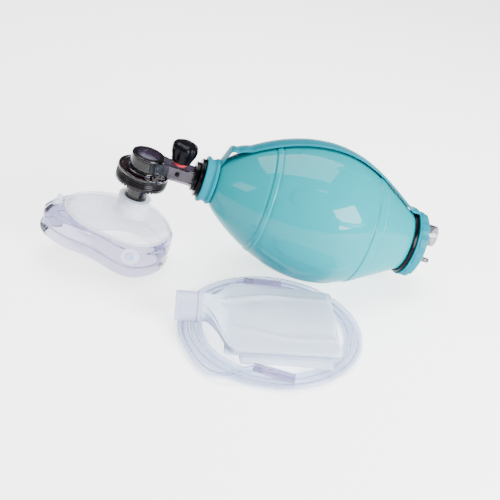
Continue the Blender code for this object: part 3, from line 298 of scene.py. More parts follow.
# ---------------------------------------------------------------- finishes
@dataclass(frozen=True)
class Finish:
    """A moulded material: two close colours in soft clouds, fine surface grain and uneven gloss."""

    name: str
    slot: str
    colour: tuple[float, float, float]
    deep: tuple[float, float, float]
    roughness: float = 0.3
    uneven: float = 0.06
    transmission: float = 0.0
    ior: float = 1.45
    subsurface: float = 0.0
    scatter: float = 0.01
    coat: float = 0.0
    shine: float = 0.12
    specular: float = 0.5
    metallic: float = 0.0
    alpha: float = 1.0
    cloud: float = 22.0
    grain: float = 900.0
    relief: float = 0.04
    streak: tuple[float, float, float] = (1.0, 1.0, 1.0)

    def material(self) -> bpy.types.Material:
        """The node material of this finish, made once.

        Returns:
            A Principled material whose colour, roughness and bump follow noise on Object
            coordinates.
        """
        known = bpy.data.materials.get(self.name)
        if known:
            return known
        made = bpy.data.materials.new(self.name)
        made.use_nodes = True
        nodes, links = made.node_tree.nodes, made.node_tree.links
        shader = nodes["Principled BSDF"]
        where = nodes.new("ShaderNodeTexCoord")
        turn = nodes.new("ShaderNodeMapping")
        turn.inputs["Scale"].default_value = self.streak
        links.new(where.outputs["Object"], turn.inputs["Vector"])
        clouds = self._noise(made, turn, self.cloud, 3.0)
        fine = self._noise(made, turn, self.grain, 2.0)
        blend = nodes.new("ShaderNodeMix")
        blend.data_type = "RGBA"
        blend.inputs[6].default_value = (*self.deep, 1)
        blend.inputs[7].default_value = (*self.colour, 1)
        links.new(clouds.outputs["Fac"], blend.inputs[0])
        links.new(blend.outputs[2], shader.inputs["Base Color"])
        gloss = nodes.new("ShaderNodeMapRange")
        gloss.inputs["To Min"].default_value = max(self.roughness - self.uneven, 0.02)
        gloss.inputs["To Max"].default_value = self.roughness + self.uneven
        links.new(clouds.outputs["Fac"], gloss.inputs["Value"])
        links.new(gloss.outputs["Result"], shader.inputs["Roughness"])
        bump = nodes.new("ShaderNodeBump")
        bump.inputs["Strength"].default_value = self.relief
        bump.inputs["Distance"].default_value = 0.0002
        links.new(fine.outputs["Fac"], bump.inputs["Height"])
        links.new(bump.outputs["Normal"], shader.inputs["Normal"])
        shader.inputs["IOR"].default_value = self.ior
        shader.inputs["Transmission Weight"].default_value = self.transmission
        shader.inputs["Subsurface Weight"].default_value = self.subsurface
        shader.inputs["Subsurface Radius"].default_value = (1.0, 1.0, 1.0)
        shader.inputs["Subsurface Scale"].default_value = self.scatter
        shader.inputs["Coat Weight"].default_value = self.coat
        shader.inputs["Coat Roughness"].default_value = self.shine
        shader.inputs["Metallic"].default_value = self.metallic
        shader.inputs["Specular IOR Level"].default_value = self.specular
        shader.inputs["Alpha"].default_value = self.alpha
        return made

    @staticmethod
    def _noise(made: bpy.types.Material, turn: bpy.types.Node, scale: float,
            detail: float) -> bpy.types.Node:
        """A noise texture at that scale, on the mapped coordinates."""
        noise = made.node_tree.nodes.new("ShaderNodeTexNoise")
        noise.inputs["Scale"].default_value = scale
        noise.inputs["Detail"].default_value = detail
        made.node_tree.links.new(turn.outputs["Vector"], noise.inputs["Vector"])
        return noise

    def dress(self, obj: bpy.types.Object) -> bpy.types.Object:
        """Gives a piece this finish as its only material."""
        obj.data.materials.clear()
        obj.data.materials.append(self.material())
        return obj


TEAL = Finish(
    "teal_silicone", "silicone_teal", (0.000, 0.250, 0.282), (0.000, 0.205, 0.235), roughness=0.30,
    transmission=0.0,
    ior=1.40, subsurface=0.0, scatter=0.008, coat=0.36, shine=0.02, specular=0.02, cloud=9.0,
    grain=420.0, relief=0.05,
)
TEAL_THICK = Finish(
    "teal_silicone_thick", "silicone_teal", (0.000, 0.175, 0.232), (0.000, 0.135, 0.182),
    roughness=0.40,
    ior=1.40, coat=0.06, shine=0.05, specular=0.03, cloud=30.0, grain=500.0, relief=0.08,
)
BLACK = Finish(
    "black_nylon", "black_plastic", (0.003, 0.003, 0.005), (0.001, 0.001, 0.002), roughness=0.20,
    coat=0.04, shine=0.04,
    specular=0.06, grain=700.0, relief=0.04,
)
SMOKE = Finish(
    "smoke_polysulfone", "smoke_plastic", (0.022, 0.015, 0.027), (0.012, 0.008, 0.016),
    roughness=0.03, uneven=0.01,
    transmission=1.0, ior=1.40, specular=0.05, cloud=14.0, grain=260.0, relief=0.0,
)
SMOKE_ARM = Finish(
    "smoke_polysulfone_arm", "smoke_plastic", (0.170, 0.150, 0.190), (0.130, 0.112, 0.148),
    roughness=0.03, uneven=0.01,
    transmission=1.0, ior=1.40, specular=0.12, cloud=14.0, grain=260.0, relief=0.0,
)
SMOKE_DARK = Finish(
    "smoke_polysulfone_thick", "smoke_plastic", (0.003, 0.001, 0.003), (0.001, 0.000, 0.001),
    roughness=0.12, uneven=0.03,
    transmission=0.45, ior=1.40, specular=0.05, coat=0.05, shine=0.03, cloud=14.0, grain=260.0,
    relief=0.0,
)
SMOKE_DISC = Finish(
    "smoke_disc", "frosted_silicone", (0.16, 0.155, 0.20), (0.11, 0.105, 0.14), roughness=0.25,
    transmission=0.4,
    ior=1.40, specular=0.3,
)
SMOKE_PALE = Finish(
    "smoke_port", "smoke_clear", (0.26, 0.265, 0.30), (0.19, 0.195, 0.23), roughness=0.05,
    uneven=0.02,
    transmission=0.95, ior=1.45, cloud=14.0, grain=260.0, relief=0.0,
)
RED = Finish(
    "red_silicone", "red_silicone", (0.38, 0.001, 0.006), (0.26, 0.000, 0.003), roughness=0.35,
    specular=0.2,
)
CLEAR = Finish(
    "clear_silicone", "clear_silicone", (0.42, 0.405, 0.52), (0.35, 0.335, 0.45), roughness=0.03,
    uneven=0.01,
    transmission=1.0, ior=1.42, cloud=12.0, grain=60.0, relief=0.0,
)
CUSHION = Finish(
    "cushion_silicone", "frosted_silicone", (0.52, 0.52, 0.66), (0.45, 0.45, 0.60), roughness=0.04,
    uneven=0.02,
    transmission=1.0, ior=1.27, cloud=10.0, grain=60.0, relief=0.0,
)
FROSTED = Finish(
    "frosted_silicone", "frosted_silicone", (0.48, 0.58, 0.90), (0.40, 0.50, 0.84), roughness=0.18,
    uneven=0.06,
    transmission=0.80, ior=1.35, cloud=10.0, grain=420.0, relief=0.03,
)
BLUE = Finish(
    "blue_silicone", "blue_silicone", (0.36, 0.48, 0.88), (0.28, 0.40, 0.80), roughness=0.3,
    transmission=0.3,
    subsurface=0.3, scatter=0.004,
)
VINYL = Finish(
    "clear_vinyl", "clear_tubing", (0.84, 0.89, 1.0), (0.76, 0.82, 0.97), roughness=0.05,
    uneven=0.02,
    transmission=0.93, ior=1.36, cloud=30.0, grain=200.0, relief=0.0,
)
VIOLET = Finish(
    "violet_vinyl", "violet_plastic", (0.64, 0.60, 0.80), (0.50, 0.46, 0.68), roughness=0.12,
    transmission=0.8, ior=1.40,
    relief=0.0,
)
FILM = Finish(
    "reservoir_film", "white_film", (0.78, 0.87, 1.0), (0.64, 0.76, 1.0), roughness=0.30,
    uneven=0.08,
    transmission=0.30, ior=1.25, subsurface=0.2, scatter=0.006, cloud=16.0, grain=160.0,
    relief=0.15,
)
PALE = Finish(
    "milky_plastic", "white_plastic", (0.72, 0.75, 1.0), (0.62, 0.66, 0.96), roughness=0.22,
    transmission=0.35,
    ior=1.40, subsurface=0.2, scatter=0.006, cloud=18.0, grain=400.0, relief=0.05,
)
STEEL = Finish(
    "spring_steel", "steel", (0.62, 0.62, 0.64), (0.50, 0.50, 0.53), roughness=0.25, metallic=1.0,
    grain=2000.0,
)


# ---------------------------------------------------------------- squeeze bag
@dataclass
class SqueezeBag:
    """The teal bag: a blown silicone shell with two ribs and soft grip ovals, and its necks."""

    place: Place
    radius: float = 0.0695
    wall: float = 0.0030
    front: float = 0.0700
    rear: float = 0.2750
    belly: float = 0.1790
    neck: float = 0.0193
    flare: float = 0.0022
    rear_neck: float = 0.0312
    front_reach: float = 0.0120
    rear_reach: float = 0.0115
    ribs: tuple[tuple[float, float], ...] = ((0.1190, 0.0036), (0.2300, 0.0090))
    rib_height: float = 0.0008
    groove: float = 0.0004
    ovals: int = 8
    oval_at: float = 0.1740
    oval_half: tuple[float, float] = (0.0400, 0.0125)
    oval_turn: float = math.radians(11)
    oval_height: float = 0.0007
    steps: int = 224

    def profile_radius(self, x: np.ndarray) -> np.ndarray:
        """Outer radius: powers of a cosine carry each neck up to the widest section."""
        x = np.asarray(x, float)
        ahead = np.clip((self.belly - x) / (self.belly - self.front), 0, 1)
        behind = np.clip((x - self.belly) / (self.rear - self.belly), 0, 1)
        foot = self.neck + self.flare
        front = foot + (self.radius - foot) * np.cos(ahead * math.pi / 2).clip(0) ** 0.80
        rear = self.rear_neck + (self.radius - self.rear_neck) * np.cos(behind * math.pi
            / 2).clip(0) ** 1.05
        return np.where(x < self.belly, front, rear)

    def rib_rise(self, x: np.ndarray) -> np.ndarray:
        """Each rib is a flat band with soft flanks between two shallow grooves."""
        rise = np.zeros_like(x)
        for middle, width in self.ribs:
            off = np.abs(x - middle)
            rise += self.rib_height * smoothstep((width / 2 + 0.0009 - off) / 0.0012)
            rise -= self.groove * np.exp(-(((off - width / 2 - 0.0013) / 0.0008) ** 2))
        return rise

    def oval_rise(self, x: np.ndarray, turn: np.ndarray) -> np.ndarray:
        """Grip ovals: a raised rim where a superellipse about each oval's centre is near 1."""
        step = 2 * math.pi / self.ovals
        off = (turn - self.oval_turn + step / 2) % step - step / 2
        around = np.abs(off * self.profile_radius(x)) / self.oval_half[1]
        along = np.abs(x - self.oval_at) / self.oval_half[0]
        reach = (around**2.4 + along**3.0) ** (1 / 2.6)
        return self.oval_height * smoothstep((1.04 - reach) / 0.16)

    def build(self) -> bpy.types.Object:
        """The shell: outer wall from rear to front, round the front neck's end, and back inside."""
        x = np.linspace(self.front, self.rear, 150)
        x = np.sort(np.concatenate([x] + [m + np.linspace(-w, w, 30) for m, w in self.ribs]))[::-1]
        turn = np.linspace(0, 2 * math.pi, self.steps, endpoint=False)
        outside = (self.profile_radius(x) + self.rib_rise(x))[:, None] + self.oval_rise(x[:, None],
            turn[None, :])
        rear_end = self.rear + self.rear_reach
        front_end = self.front - self.front_reach
        inner_x = np.linspace(self.front + self.wall, self.rear - self.wall / 2, 40)
        inner = self.profile_radius(inner_x) - self.wall
        lead = np.array([[self.rear_neck - EDGE / 2, rear_end],
            [self.rear_neck, rear_end - EDGE / 2], [self.rear_neck, self.rear + GAP]])
        neck = np.array(
            [[self.neck, self.front - 0.0005], [self.neck, front_end],
            [self.neck - self.wall, front_end], [self.neck - self.wall, self.front]]
        )
        tail = np.array([[self.rear_neck - self.wall, self.rear],
            [self.rear_neck - self.wall, rear_end]])
        radii = np.concatenate(
            [np.tile(lead[:, :1], self.steps), outside, np.tile(neck[:, :1], self.steps),
            np.tile(inner[:, None], self.steps), np.tile(tail[:, :1], self.steps)]
        )
        heights = np.concatenate([lead[:, 1], x, neck[:, 1], inner_x, tail[:, 1]])
        grid = np.stack([radii * np.cos(turn), radii * np.sin(turn),
            np.tile(heights[:, None], self.steps)], axis=-1)
        made = solid("squeeze_bag", self.place.along(Along.X).world(grid), sharp=math.radians(50))
        TEAL.dress(made)
        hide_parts("bag_shell")
        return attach(made, "bag")


@dataclass
class HandStrap:
    """The strap moulding: waisted collar, arched band and thin tail ring."""

    bag: SqueezeBag
    thick: float = 0.0024
    clear: float = 0.0015
    width: float = 0.0330
    end_width: float = 0.0230
    turn: float = math.radians(14)
    arch: float = 0.0036
    arch_reach: float = 0.0260
    collar: float = 0.0135
    rim: float = 0.0036
    waist: float = 0.0016
    rim_length: float = 0.0030
    tail_low: float = 0.2796
    tail_width: float = 0.0022
    tail_wall: float = 0.0034
    band_radius: float = 0.0333

    def build(self) -> bpy.types.Object:
        """Makes the three forms and joins them into one moulding.

        Returns:
            The strap, which stands for the frame's hand_strap.
        """
        made = self._collar()
        for other in (self._band(), self._tail()):
            made = carve(made, other, "UNION")
        made.name = "hand_strap_moulding"
        TEAL_THICK.dress(made)
        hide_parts("hand_strap")
        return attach(made, "bag")

    def _collar(self) -> bpy.types.Object:
        """Collar round the bag's front neck: two rolled rims with a concave waist between."""
        inner = self.bag.neck + GAP
        high = self.bag.front - 0.0008
        low = self.bag.front - self.collar
        rim = inner + self.rim
        waist = inner + self.waist
        profile = [
            (rim, high), (rim, high - self.rim_length),
            (waist + 0.0006, high - self.rim_length - 0.0012),
            (waist, (high + low) / 2), (waist + 0.0006, low + self.rim_length + 0.0012),
            (rim, low + self.rim_length), (rim, low), (inner, low), (inner, high),
        ]
        return solid("collar",
            self.bag.place.along(Along.X).world(spun(rounded(profile, 0.0010, cuts=5), 120)))

    def _tail(self) -> bpy.types.Object:
        """Thin ring behind the clamp band, where the strap ends."""
        inner = self.bag.rear_neck + GAP
        outer = inner + self.tail_wall
        low, high = self.tail_low, self.tail_low + self.tail_width
        profile = [(outer, high), (outer, low), (inner, low), (inner, high)]
        return solid("tail",
            self.bag.place.along(Along.X).world(spun(rounded(profile, 0.0007), 120)))

    def _band(self) -> bpy.types.Object:
        """The band: a rounded section (a squared-off oval) carried over the bag, arched behind the
        collar."""
        start = self.bag.front - self.rim_length / 2
        stop = self.tail_low + self.tail_width / 2
        x = np.concatenate([np.linspace(start, self.bag.front + self.arch_reach, 26),
            np.linspace(self.bag.front + self.arch_reach, stop, 90)[1:]])
        over = np.maximum(self.bag.profile_radius(x), self.band_radius) + self.clear
        reach = np.clip((x - start) / self.arch_reach, 0, 1)
        collar_top = self.bag.neck + GAP + self.rim - self.thick
        blend = smoothstep((x - start) / 0.0080)
        eased = collar_top * (1 - blend) + over * blend + self.arch * np.sin(math.pi * reach) ** 1.2
        under = np.where(x > self.bag.front, np.maximum(eased, self.bag.profile_radius(x) + EDGE),
            eased)
        tail_drop = smoothstep((x - (stop - 0.0022)) / 0.0020)
        under = under * (1 - tail_drop) + (self.bag.rear_neck + GAP + EDGE / 2) * tail_drop
        spread = np.sin(np.clip((x - start) / (stop - start), 0, 1) * math.pi).clip(0) ** 0.7
        half = (self.end_width + (self.width - self.end_width) * spread) / 2
        spin = np.linspace(0, 2 * math.pi, 44, endpoint=False)
        across = np.sign(np.cos(spin)) * np.abs(np.cos(spin)) ** 0.30
        rise = 0.5 + 0.5 * np.sign(np.sin(spin)) * np.abs(np.sin(spin)) ** 0.55
        bead = 1 + 0.22 * np.exp(-(((np.abs(across) - 0.90)
            / 0.05) ** 2)) - 0.10 * (np.abs(across) < 0.8)
        radius = under[:, None] + self.thick * rise * bead
        angle = self.turn + across * (half / under)[:, None]
        grid = np.stack([np.tile(x[:, None], 44), radius * np.sin(angle), radius * np.cos(angle)],
            axis=-1)
        return solid("band", self.bag.place.world(grid), loop=False, caps=True)


@dataclass
class FrontSwivel:
    """Black stepped swivel between collar and arm: the seat on the bag, the sleeve on the arm."""

    place: Place
    face: float = 0.0562
    seat: float = 0.0193
    seat_length: float = 0.0042
    tube: float = 0.0160
    seat_wall: float = 0.0028
    depth: float = 0.0105
    sleeve: float = 0.0148
    sleeve_length: float = 0.0042
    bore: float = 0.0106

    def build(self) -> None:
        """Seat with a fine groove round its face, and sleeve behind a running gap; the arm's pocket
        is cut."""
        seat_face = self.face - self.seat_length
        bore = self.tube - self.seat_wall
        seat = [
            (self.tube, self.face + self.depth), (self.tube, self.face), (self.seat, self.face),
            (self.seat, self.face - 0.0018), (self.seat - 0.0005, self.face - 0.0021),
            (self.seat, self.face - 0.0024),
            (self.seat, seat_face), (bore, seat_face), (bore, self.face + self.depth),
        ]
        made = solid("front_swivel_seat",
            self.place.along(Along.X).world(spun(rounded(seat, 0.0005))))
        BLACK.dress(made)
        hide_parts("swivel_seat")
        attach(made, "bag")
        inner = bore - GAP
        high = seat_face - GAP
        low = high - self.sleeve_length
        sleeve = [
            (inner, self.face + self.depth - 0.001), (inner, high), (self.sleeve, high),
            (self.sleeve, low),
            (self.bore, low), (self.bore, self.face + self.depth - 0.001),
        ]
        made = solid("front_swivel_sleeve",
            self.place.along(Along.X).world(spun(rounded(sleeve, 0.0005))))
        pocket = box_solid("arm_pocket", self.place, (low - 0.002, -0.0088, -0.0092),
            (0.0477, 0.0088, 0.0069))
        made = carve(made, pocket, "DIFFERENCE")
        BLACK.dress(made)
        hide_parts("swivel_sleeve")
        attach(made, "valve")


def box_solid(name: str, place: Place, low: tuple, high: tuple,
        soft: float = 0.0) -> bpy.types.Object:
    """A box between two local corners, run along local X, with its four long edges rounded by soft.

    Args:
        name: the new object's name.
        place: whose axes the box follows.
        low: lowest corner.
        high: highest corner.
        soft: how far the long edges are rounded.

    Returns:
        The closed box.
    """
    corners = [(high[1], high[2]), (low[1], high[2]), (low[1], low[2]), (high[1], low[2])]
    section = rounded(corners, soft, cuts=6) if soft else np.array(corners, float)
    ends = np.array([low[0], high[0]])
    grid = np.stack(
        [np.tile(ends[:, None], len(section)), np.tile(section[:, 0], (2, 1)),
        np.tile(section[:, 1], (2, 1))], axis=-1
    )
    return solid(name, place.world(grid), loop=False, caps=True)


@dataclass
class IntakeEnd:
    """The bag's rear: clamp band, lobed ring nut, intake plate, reservoir port and oxygen
    nipple."""

    place: Place
    neck: float = 0.0312
    rear: float = 0.2750
    band: float = 0.0040
    band_wall: float = 0.0018
    nut_radius: float = 0.0345
    nut_width: float = 0.0090
    lobes: int = 12
    plate_radius: float = 0.0279
    plate_wall: float = 0.0026
    back: float = 0.2923
    depth: float = 0.0200
    plate: float = 0.0034
    port: float = 0.0112
    port_wall: float = 0.0017
    port_reach: float = 0.0130
    port_up: float = 0.0150
    nipple: float = 0.0029
    nipple_reach: float = 0.0170
    nipple_at: tuple[float, float] = (-0.0080, -0.0100)

    def build(self) -> None:
        """All the pieces at the rear, each in place of its frame node."""
        along = self.place.along(Along.X)
        low = self.rear + GAP
        outer = self.neck + GAP + self.band_wall
        ring = [(outer, low + self.band), (outer, low), (self.neck + GAP, low),
            (self.neck + GAP, low + self.band)]
        made = solid("rear_clamp", along.world(spun(rounded(ring, 0.0009), 140)))
        BLACK.dress(made)
        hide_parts("rear_clamp_band")
        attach(made, "bag")
        self._nut(along)
        self._plate(along)
        self._tubes(along)

    def _nut(self, along: Place) -> None:
        """Ring nut: the radius falls in a shallow scallop at each lobe, and a step rings its
        face."""
        low = self.rear + self.band + 0.0022 + 3 * GAP
        high = low + self.nut_width
        neck_end = self.rear + 0.0115
        rim = self.nut_radius
        inner = self.plate_radius + GAP
        profile = rounded(
            [
                (rim - 0.0020, high), (rim, high - 0.0014), (rim, low), (self.neck + GAP, low),
                (self.neck + GAP, neck_end + GAP), (inner, neck_end + GAP), (inner, high),
                (inner + 0.0022, high), (inner + 0.0026, high - 0.0005),
                (inner + 0.0032, high - 0.0005), (inner + 0.0036, high),
            ],
            0.0006,
        )
        steps = self.lobes * 20
        grid = spun(profile, steps)
        turn = np.linspace(0, 2 * math.pi, steps, endpoint=False)
        dip = 0.0014 * np.clip(np.cos(turn * self.lobes + math.pi), 0, 1) ** 0.8
        outer = smoothstep((profile[:, 0] - (rim - 0.0024)) / 0.0016)[:, None]
        shrink = 1 - outer * dip[None, :] / rim
        grid[..., :2] *= shrink[..., None]
        made = solid("intake_nut", along.world(grid))
        TEAL_THICK.dress(made)
        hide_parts("intake_ring_nut")
        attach(made, "bag")

    def _plate(self, along: Place) -> None:
        """Intake body: a cup with a stepped back plate, six windows at its front and openings for
        the tubes."""
        back, front = self.back, self.back - self.depth
        outer = self.plate_radius
        body = [
            (0.0, back), (outer - 0.0045, back), (outer - 0.0050, back - 0.0006),
            (outer - 0.0056, back - 0.0006),
            (outer - 0.0060, back), (outer, back), (outer, front), (0.0, front),
        ]
        body = [(0.0, back), (outer - 0.0060, back), (outer - 0.0056, back - 0.0006),
            (outer - 0.0050, back - 0.0006),
                (outer - 0.0045, back), (outer, back), (outer, front), (0.0, front)]
        made = solid("intake_body", along.world(spun(rounded(body, 0.0005, closed=False), 120)),
            loop=False)
        hollow = [(0.0, back - self.plate), (outer - self.plate_wall, back - self.plate),
            (outer - self.plate_wall, front + self.plate_wall), (0.0, front + self.plate_wall)]
        cutters = [solid("hollow", along.world(spun(np.array(hollow), 80)), loop=False)]
        for k in range(6):
            spot = (0.011 * math.cos(k * math.pi / 3), 0.011 * math.sin(k * math.pi / 3))
            cutters.append(self._drill(along.at(*spot, 0), 0.0040, front - 0.002,
                front + self.plate_wall + 0.002))
        cutters.append(self._drill(along, 0.0016, front - 0.002, front + self.plate_wall + 0.002))
        ends = (back - self.plate - 0.002, back + 0.002)
        cutters.append(self._drill(along.at(0, self.port_up, 0), self.port + GAP, *ends))
        cutters.append(self._drill(along.at(self.nipple_at[0], self.nipple_at[1], 0),
            self.nipple + GAP, *ends))
        for cutter in cutters:
            made = carve(made, cutter, "DIFFERENCE")
        TEAL_THICK.dress(made)
        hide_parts("intake_housing")
        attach(made, "bag")
        face = front - GAP
        disc = [(0.0, front + 0.0060), (0.0013, front + 0.0060), (0.0013, face), (0.0190, face),
            (0.0190, face - 0.0012), (0.0, face - 0.0012)]
        flap = solid("intake_flap_disc", along.world(spun(rounded(disc, 0.0004, closed=False), 72)),
            loop=False)
        FROSTED.dress(flap)
        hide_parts("intake_disc")
        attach(flap, "intake_flap")

    @staticmethod
    def _drill(place: Place, radius: float, low: float, high: float) -> bpy.types.Object:
        """A plain round cutter along the place's Z."""
        profile = np.array([(0.0, high), (radius, high), (radius, low), (0.0, low)])
        return solid("drill", place.world(spun(profile, 48)), loop=False)

    def _tubes(self, along: Place) -> None:
        """The clear port with a rolled mouth and foot, and the barbed nipple."""
        inside = self.back - self.plate - GAP
        end = self.back + self.port_reach
        bore = self.port - self.port_wall
        port = [
            (self.port, end), (self.port, self.back + 0.0032), (self.port, self.back + 0.0001),
            (self.port, inside), (self.port, inside - 0.0016),
            (bore, inside - 0.0016), (bore, self.back + 0.0060), (bore, end),
        ]
        made = solid("reservoir_port_tube",
            along.at(0, self.port_up, 0).world(spun(rounded(port, 0.0005), 96)))
        SMOKE_PALE.dress(made)
        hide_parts("reservoir_port")
        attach(made, "bag")
        tip = self.back + self.nipple_reach
        barbs = [(self.nipple * 0.72, tip), (self.nipple, tip - 0.0030)]
        barbs += [(self.nipple * 0.80, tip - 0.0030), (self.nipple, tip - 0.0066),
            (self.nipple * 0.80, tip - 0.0066), (self.nipple, tip - 0.0102)]
        barbs += [(self.nipple, inside), (self.nipple + 0.0014, inside),
            (self.nipple + 0.0014, inside - 0.0014), (0.0014, inside - 0.0014), (0.0014, tip)]
        place = along.at(self.nipple_at[0], self.nipple_at[1], 0)
        made = solid("oxygen_barb", place.world(spun(rounded(barbs, 0.0003), 48)))
        SMOKE_PALE.dress(made)
        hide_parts("oxygen_nipple")
        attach(made, "bag")


# ---------------------------------------------------------------- patient valve
@dataclass
class PatientValve:
    """The clear valve: domed body with the exhaust port and box arm, threaded ring, discs and
    connector."""

    place: Place
    dome: float = 0.0165
    dome_top: float = 0.0080
    wall: float = 0.0020
    exhaust: float = 0.0117
    flange: float = 0.0260
    flange_top: float = -0.0081
    flange_thick: float = 0.0030
    arm_width: float = 0.0170
    arm_top: float = 0.0066
    arm_wall: float = 0.0018
    arm_end: float = 0.0474
    ledge_top: float = 0.0006
    ledge_thick: float = 0.0014
    ledge: float = 0.0100
    ring_height: float = 0.0112
    ring_wall: float = 0.0026
    ring_floor: float = 0.0022
    ring_hole: float = 0.0128
    teeth: int = 44
    tooth: float = 0.0019
    threads: int = 3
    relief_x: float = 0.0315
    relief_tube: float = 0.0040
    connector: float = 0.0110
    bore: float = 0.0077
    neck_top: float = -0.0403

    def build(self) -> None:
        """Body, ring, red lip valve, exhalation disc and patient connector."""
        self._body()
        self._ring()
        self._insides()

    def _ride(self, obj: bpy.types.Object, finish: Finish, node: str, body: str = "valve") -> None:
        """Dresses a piece, puts it in place of its node and rides it on its body."""
        finish.dress(obj)
        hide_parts(node)
        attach(obj, body)

    def _body(self) -> None:
        """Dome and flange turned as one, joined to the arm and its keyhole wedge, then hollowed."""
        bottom = self.flange_top - self.flange_thick
        dome = self.dome
        profile = [
            (0.0, self.dome_top), (dome - 0.0004, self.dome_top), (dome, self.dome_top - 0.0012),
            (dome, self.dome_top - 0.0026),
            (dome - 0.0005, self.dome_top - 0.0032), (dome - 0.0003, self.flange_top + 0.0014),
            (dome + 0.0012, self.flange_top),
            (self.flange - 0.0040, self.flange_top),
            (self.flange - 0.0036, self.flange_top + 0.0005),
            (self.flange, self.flange_top + 0.0003),
            (self.flange, bottom), (0.0, bottom),
        ]
        made = solid("valve_body",
            self.place.world(spun(rounded(profile, 0.0006, closed=False), 144)), loop=False)
        half = self.arm_width / 2
        low = self.flange_top - 0.0008
        arm = box_solid("arm", self.place, (dome - 0.004, -half, low),
            (self.arm_end, half, self.arm_top), soft=0.0014)
        made = carve(made, arm, "UNION")
        made = carve(made, self._wedge(half), "UNION")
        bore = dome - self.wall
        hollow = [
            (0.0, self.dome_top + 0.001), (self.exhaust, self.dome_top + 0.001),
            (self.exhaust, self.dome_top - self.wall),
            (bore, self.dome_top - self.wall), (bore, self.ledge_top), (self.ledge, self.ledge_top),
            (self.ledge, self.ledge_top - self.ledge_thick),
            (bore, self.ledge_top - self.ledge_thick), (bore, bottom - 0.001),
            (0.0, bottom - 0.001),
        ]
        made = carve(made,
            solid("hollow", self.place.world(spun(np.array(hollow), 112)), loop=False),
            "DIFFERENCE")
        inner_low = low + self.arm_wall
        inner = ((dome + 0.0005, self.arm_wall - half, inner_low),
            (self.arm_end + 0.01, half - self.arm_wall, self.arm_top - self.arm_wall))
        made = carve(made, box_solid("inner", self.place, *inner, soft=0.0008), "DIFFERENCE")
        passage = ((bore - 0.004, -0.0050, inner_low),
            (dome + 0.0025, 0.0050, self.ledge_top - self.ledge_thick - 0.0006))
        made = carve(made, box_solid("passage", self.place, *passage), "DIFFERENCE")
        drill = np.array([(0.0, self.arm_top + 0.001),
            (self.relief_tube + GAP, self.arm_top + 0.001),
            (self.relief_tube + GAP, self.arm_top - self.arm_wall - 0.001),
            (0.0, self.arm_top - self.arm_wall - 0.001)])
        made = carve(made,
            solid("drill", self.place.at(self.relief_x, 0, 0).world(spun(drill, 48)), loop=False),
            "DIFFERENCE")
        side = np.array([(0.0, half + 0.001), (0.0016, half + 0.001),
            (0.0016, half - self.arm_wall - 0.001), (0.0, half - self.arm_wall - 0.001)])
        place = self.place.at(self.relief_x, 0, 0).along(Along.MINUS_Y)
        made = carve(made, solid("drill", place.world(spun(side, 32)), loop=False), "DIFFERENCE")
        made.name = "valve_body"
        self._ride(made, SMOKE, "valve_housing")
        made.data.materials.append(SMOKE_ARM.material())
        middles = np.empty(len(made.data.polygons) * 3)
        made.data.polygons.foreach_get("center", middles)
        local = (middles.reshape(-1, 3) - np.array(self.place.origin)) @ np.array(self.place.axes).T
        reach = np.hypot(local[:, 0], local[:, 1])
        clear = (local[:,
            0] > self.dome + 0.0015) | ((reach > self.dome + 0.0010) & (local[:,
            2] < self.flange_top + 0.001))
        made.data.polygons.foreach_set("material_index", clear.astype(np.int32))

    def _wedge(self, half: float) -> bpy.types.Object:
        """The keyhole neck between dome and arm, a block whose sides draw in on half a cosine
        wave."""
        wide = self.dome * 0.78
        x = np.linspace(0.0080, self.dome + 0.0075, 14)
        t = (x - x[0]) / (x[-1] - x[0])
        reach = half + (wide - half) * (0.5 + 0.5 * np.cos(math.pi * t))
        low, high = self.flange_top - 0.0012, self.arm_top - 0.0006
        grid = np.stack([np.stack([x, s * reach, np.full_like(x, z)], axis=-1) for s,
            z in ((1, low), (-1, low), (-1, high), (1, high))], axis=1)
        return solid("wedge", self.place.world(grid), loop=False, caps=True)

    def _ring(self) -> None:
        """Screw ring: shallow thread grooves above and square teeth round the lower rim.

        The lower rim's height follows a steep sine of the angle, so it steps between land and gap.
        """
        top = self.flange_top - self.flange_thick - GAP
        bottom = top - self.ring_height
        outer, inner = self.flange, self.flange - self.ring_wall
        profile = [(outer, top)]
        for k in range(self.threads):
            z = top - 0.0011 - k * 0.0021
            profile += [(outer, z), (outer - 0.0006, z - 0.0004), (outer - 0.0006, z - 0.0009),
                (outer, z - 0.0013)]
        profile += [(outer, bottom + self.tooth + 0.0012),
            (outer - 0.0003, bottom + self.tooth + 0.0008), (outer - 0.0003, bottom)]
        profile += [(outer - 0.0022, bottom), (outer - 0.0024, bottom + self.tooth * 0.9),
            (self.ring_hole, bottom + self.tooth * 0.9)]
        profile += [(self.ring_hole, bottom + self.ring_floor), (inner, bottom + self.ring_floor),
            (inner, top)]
        section = rounded(profile, 0.00035, cuts=3)
        steps = self.teeth * 10
        grid = spun(section, steps)
        turn = np.linspace(0, 2 * math.pi, steps, endpoint=False)
        gap = smoothstep(0.5 + 2.2 * np.sin(turn * self.teeth))
        foot = (section[:, 0] > outer - 0.00235) & (section[:, 1] < bottom + self.tooth * 0.5)
        grid[..., 2] += foot[:, None] * self.tooth * 0.85 * gap[None, :]
        self._ride(solid("valve_screw_ring", self.place.world(grid), sharp=math.radians(30)),
            SMOKE_DARK, "valve_ring")

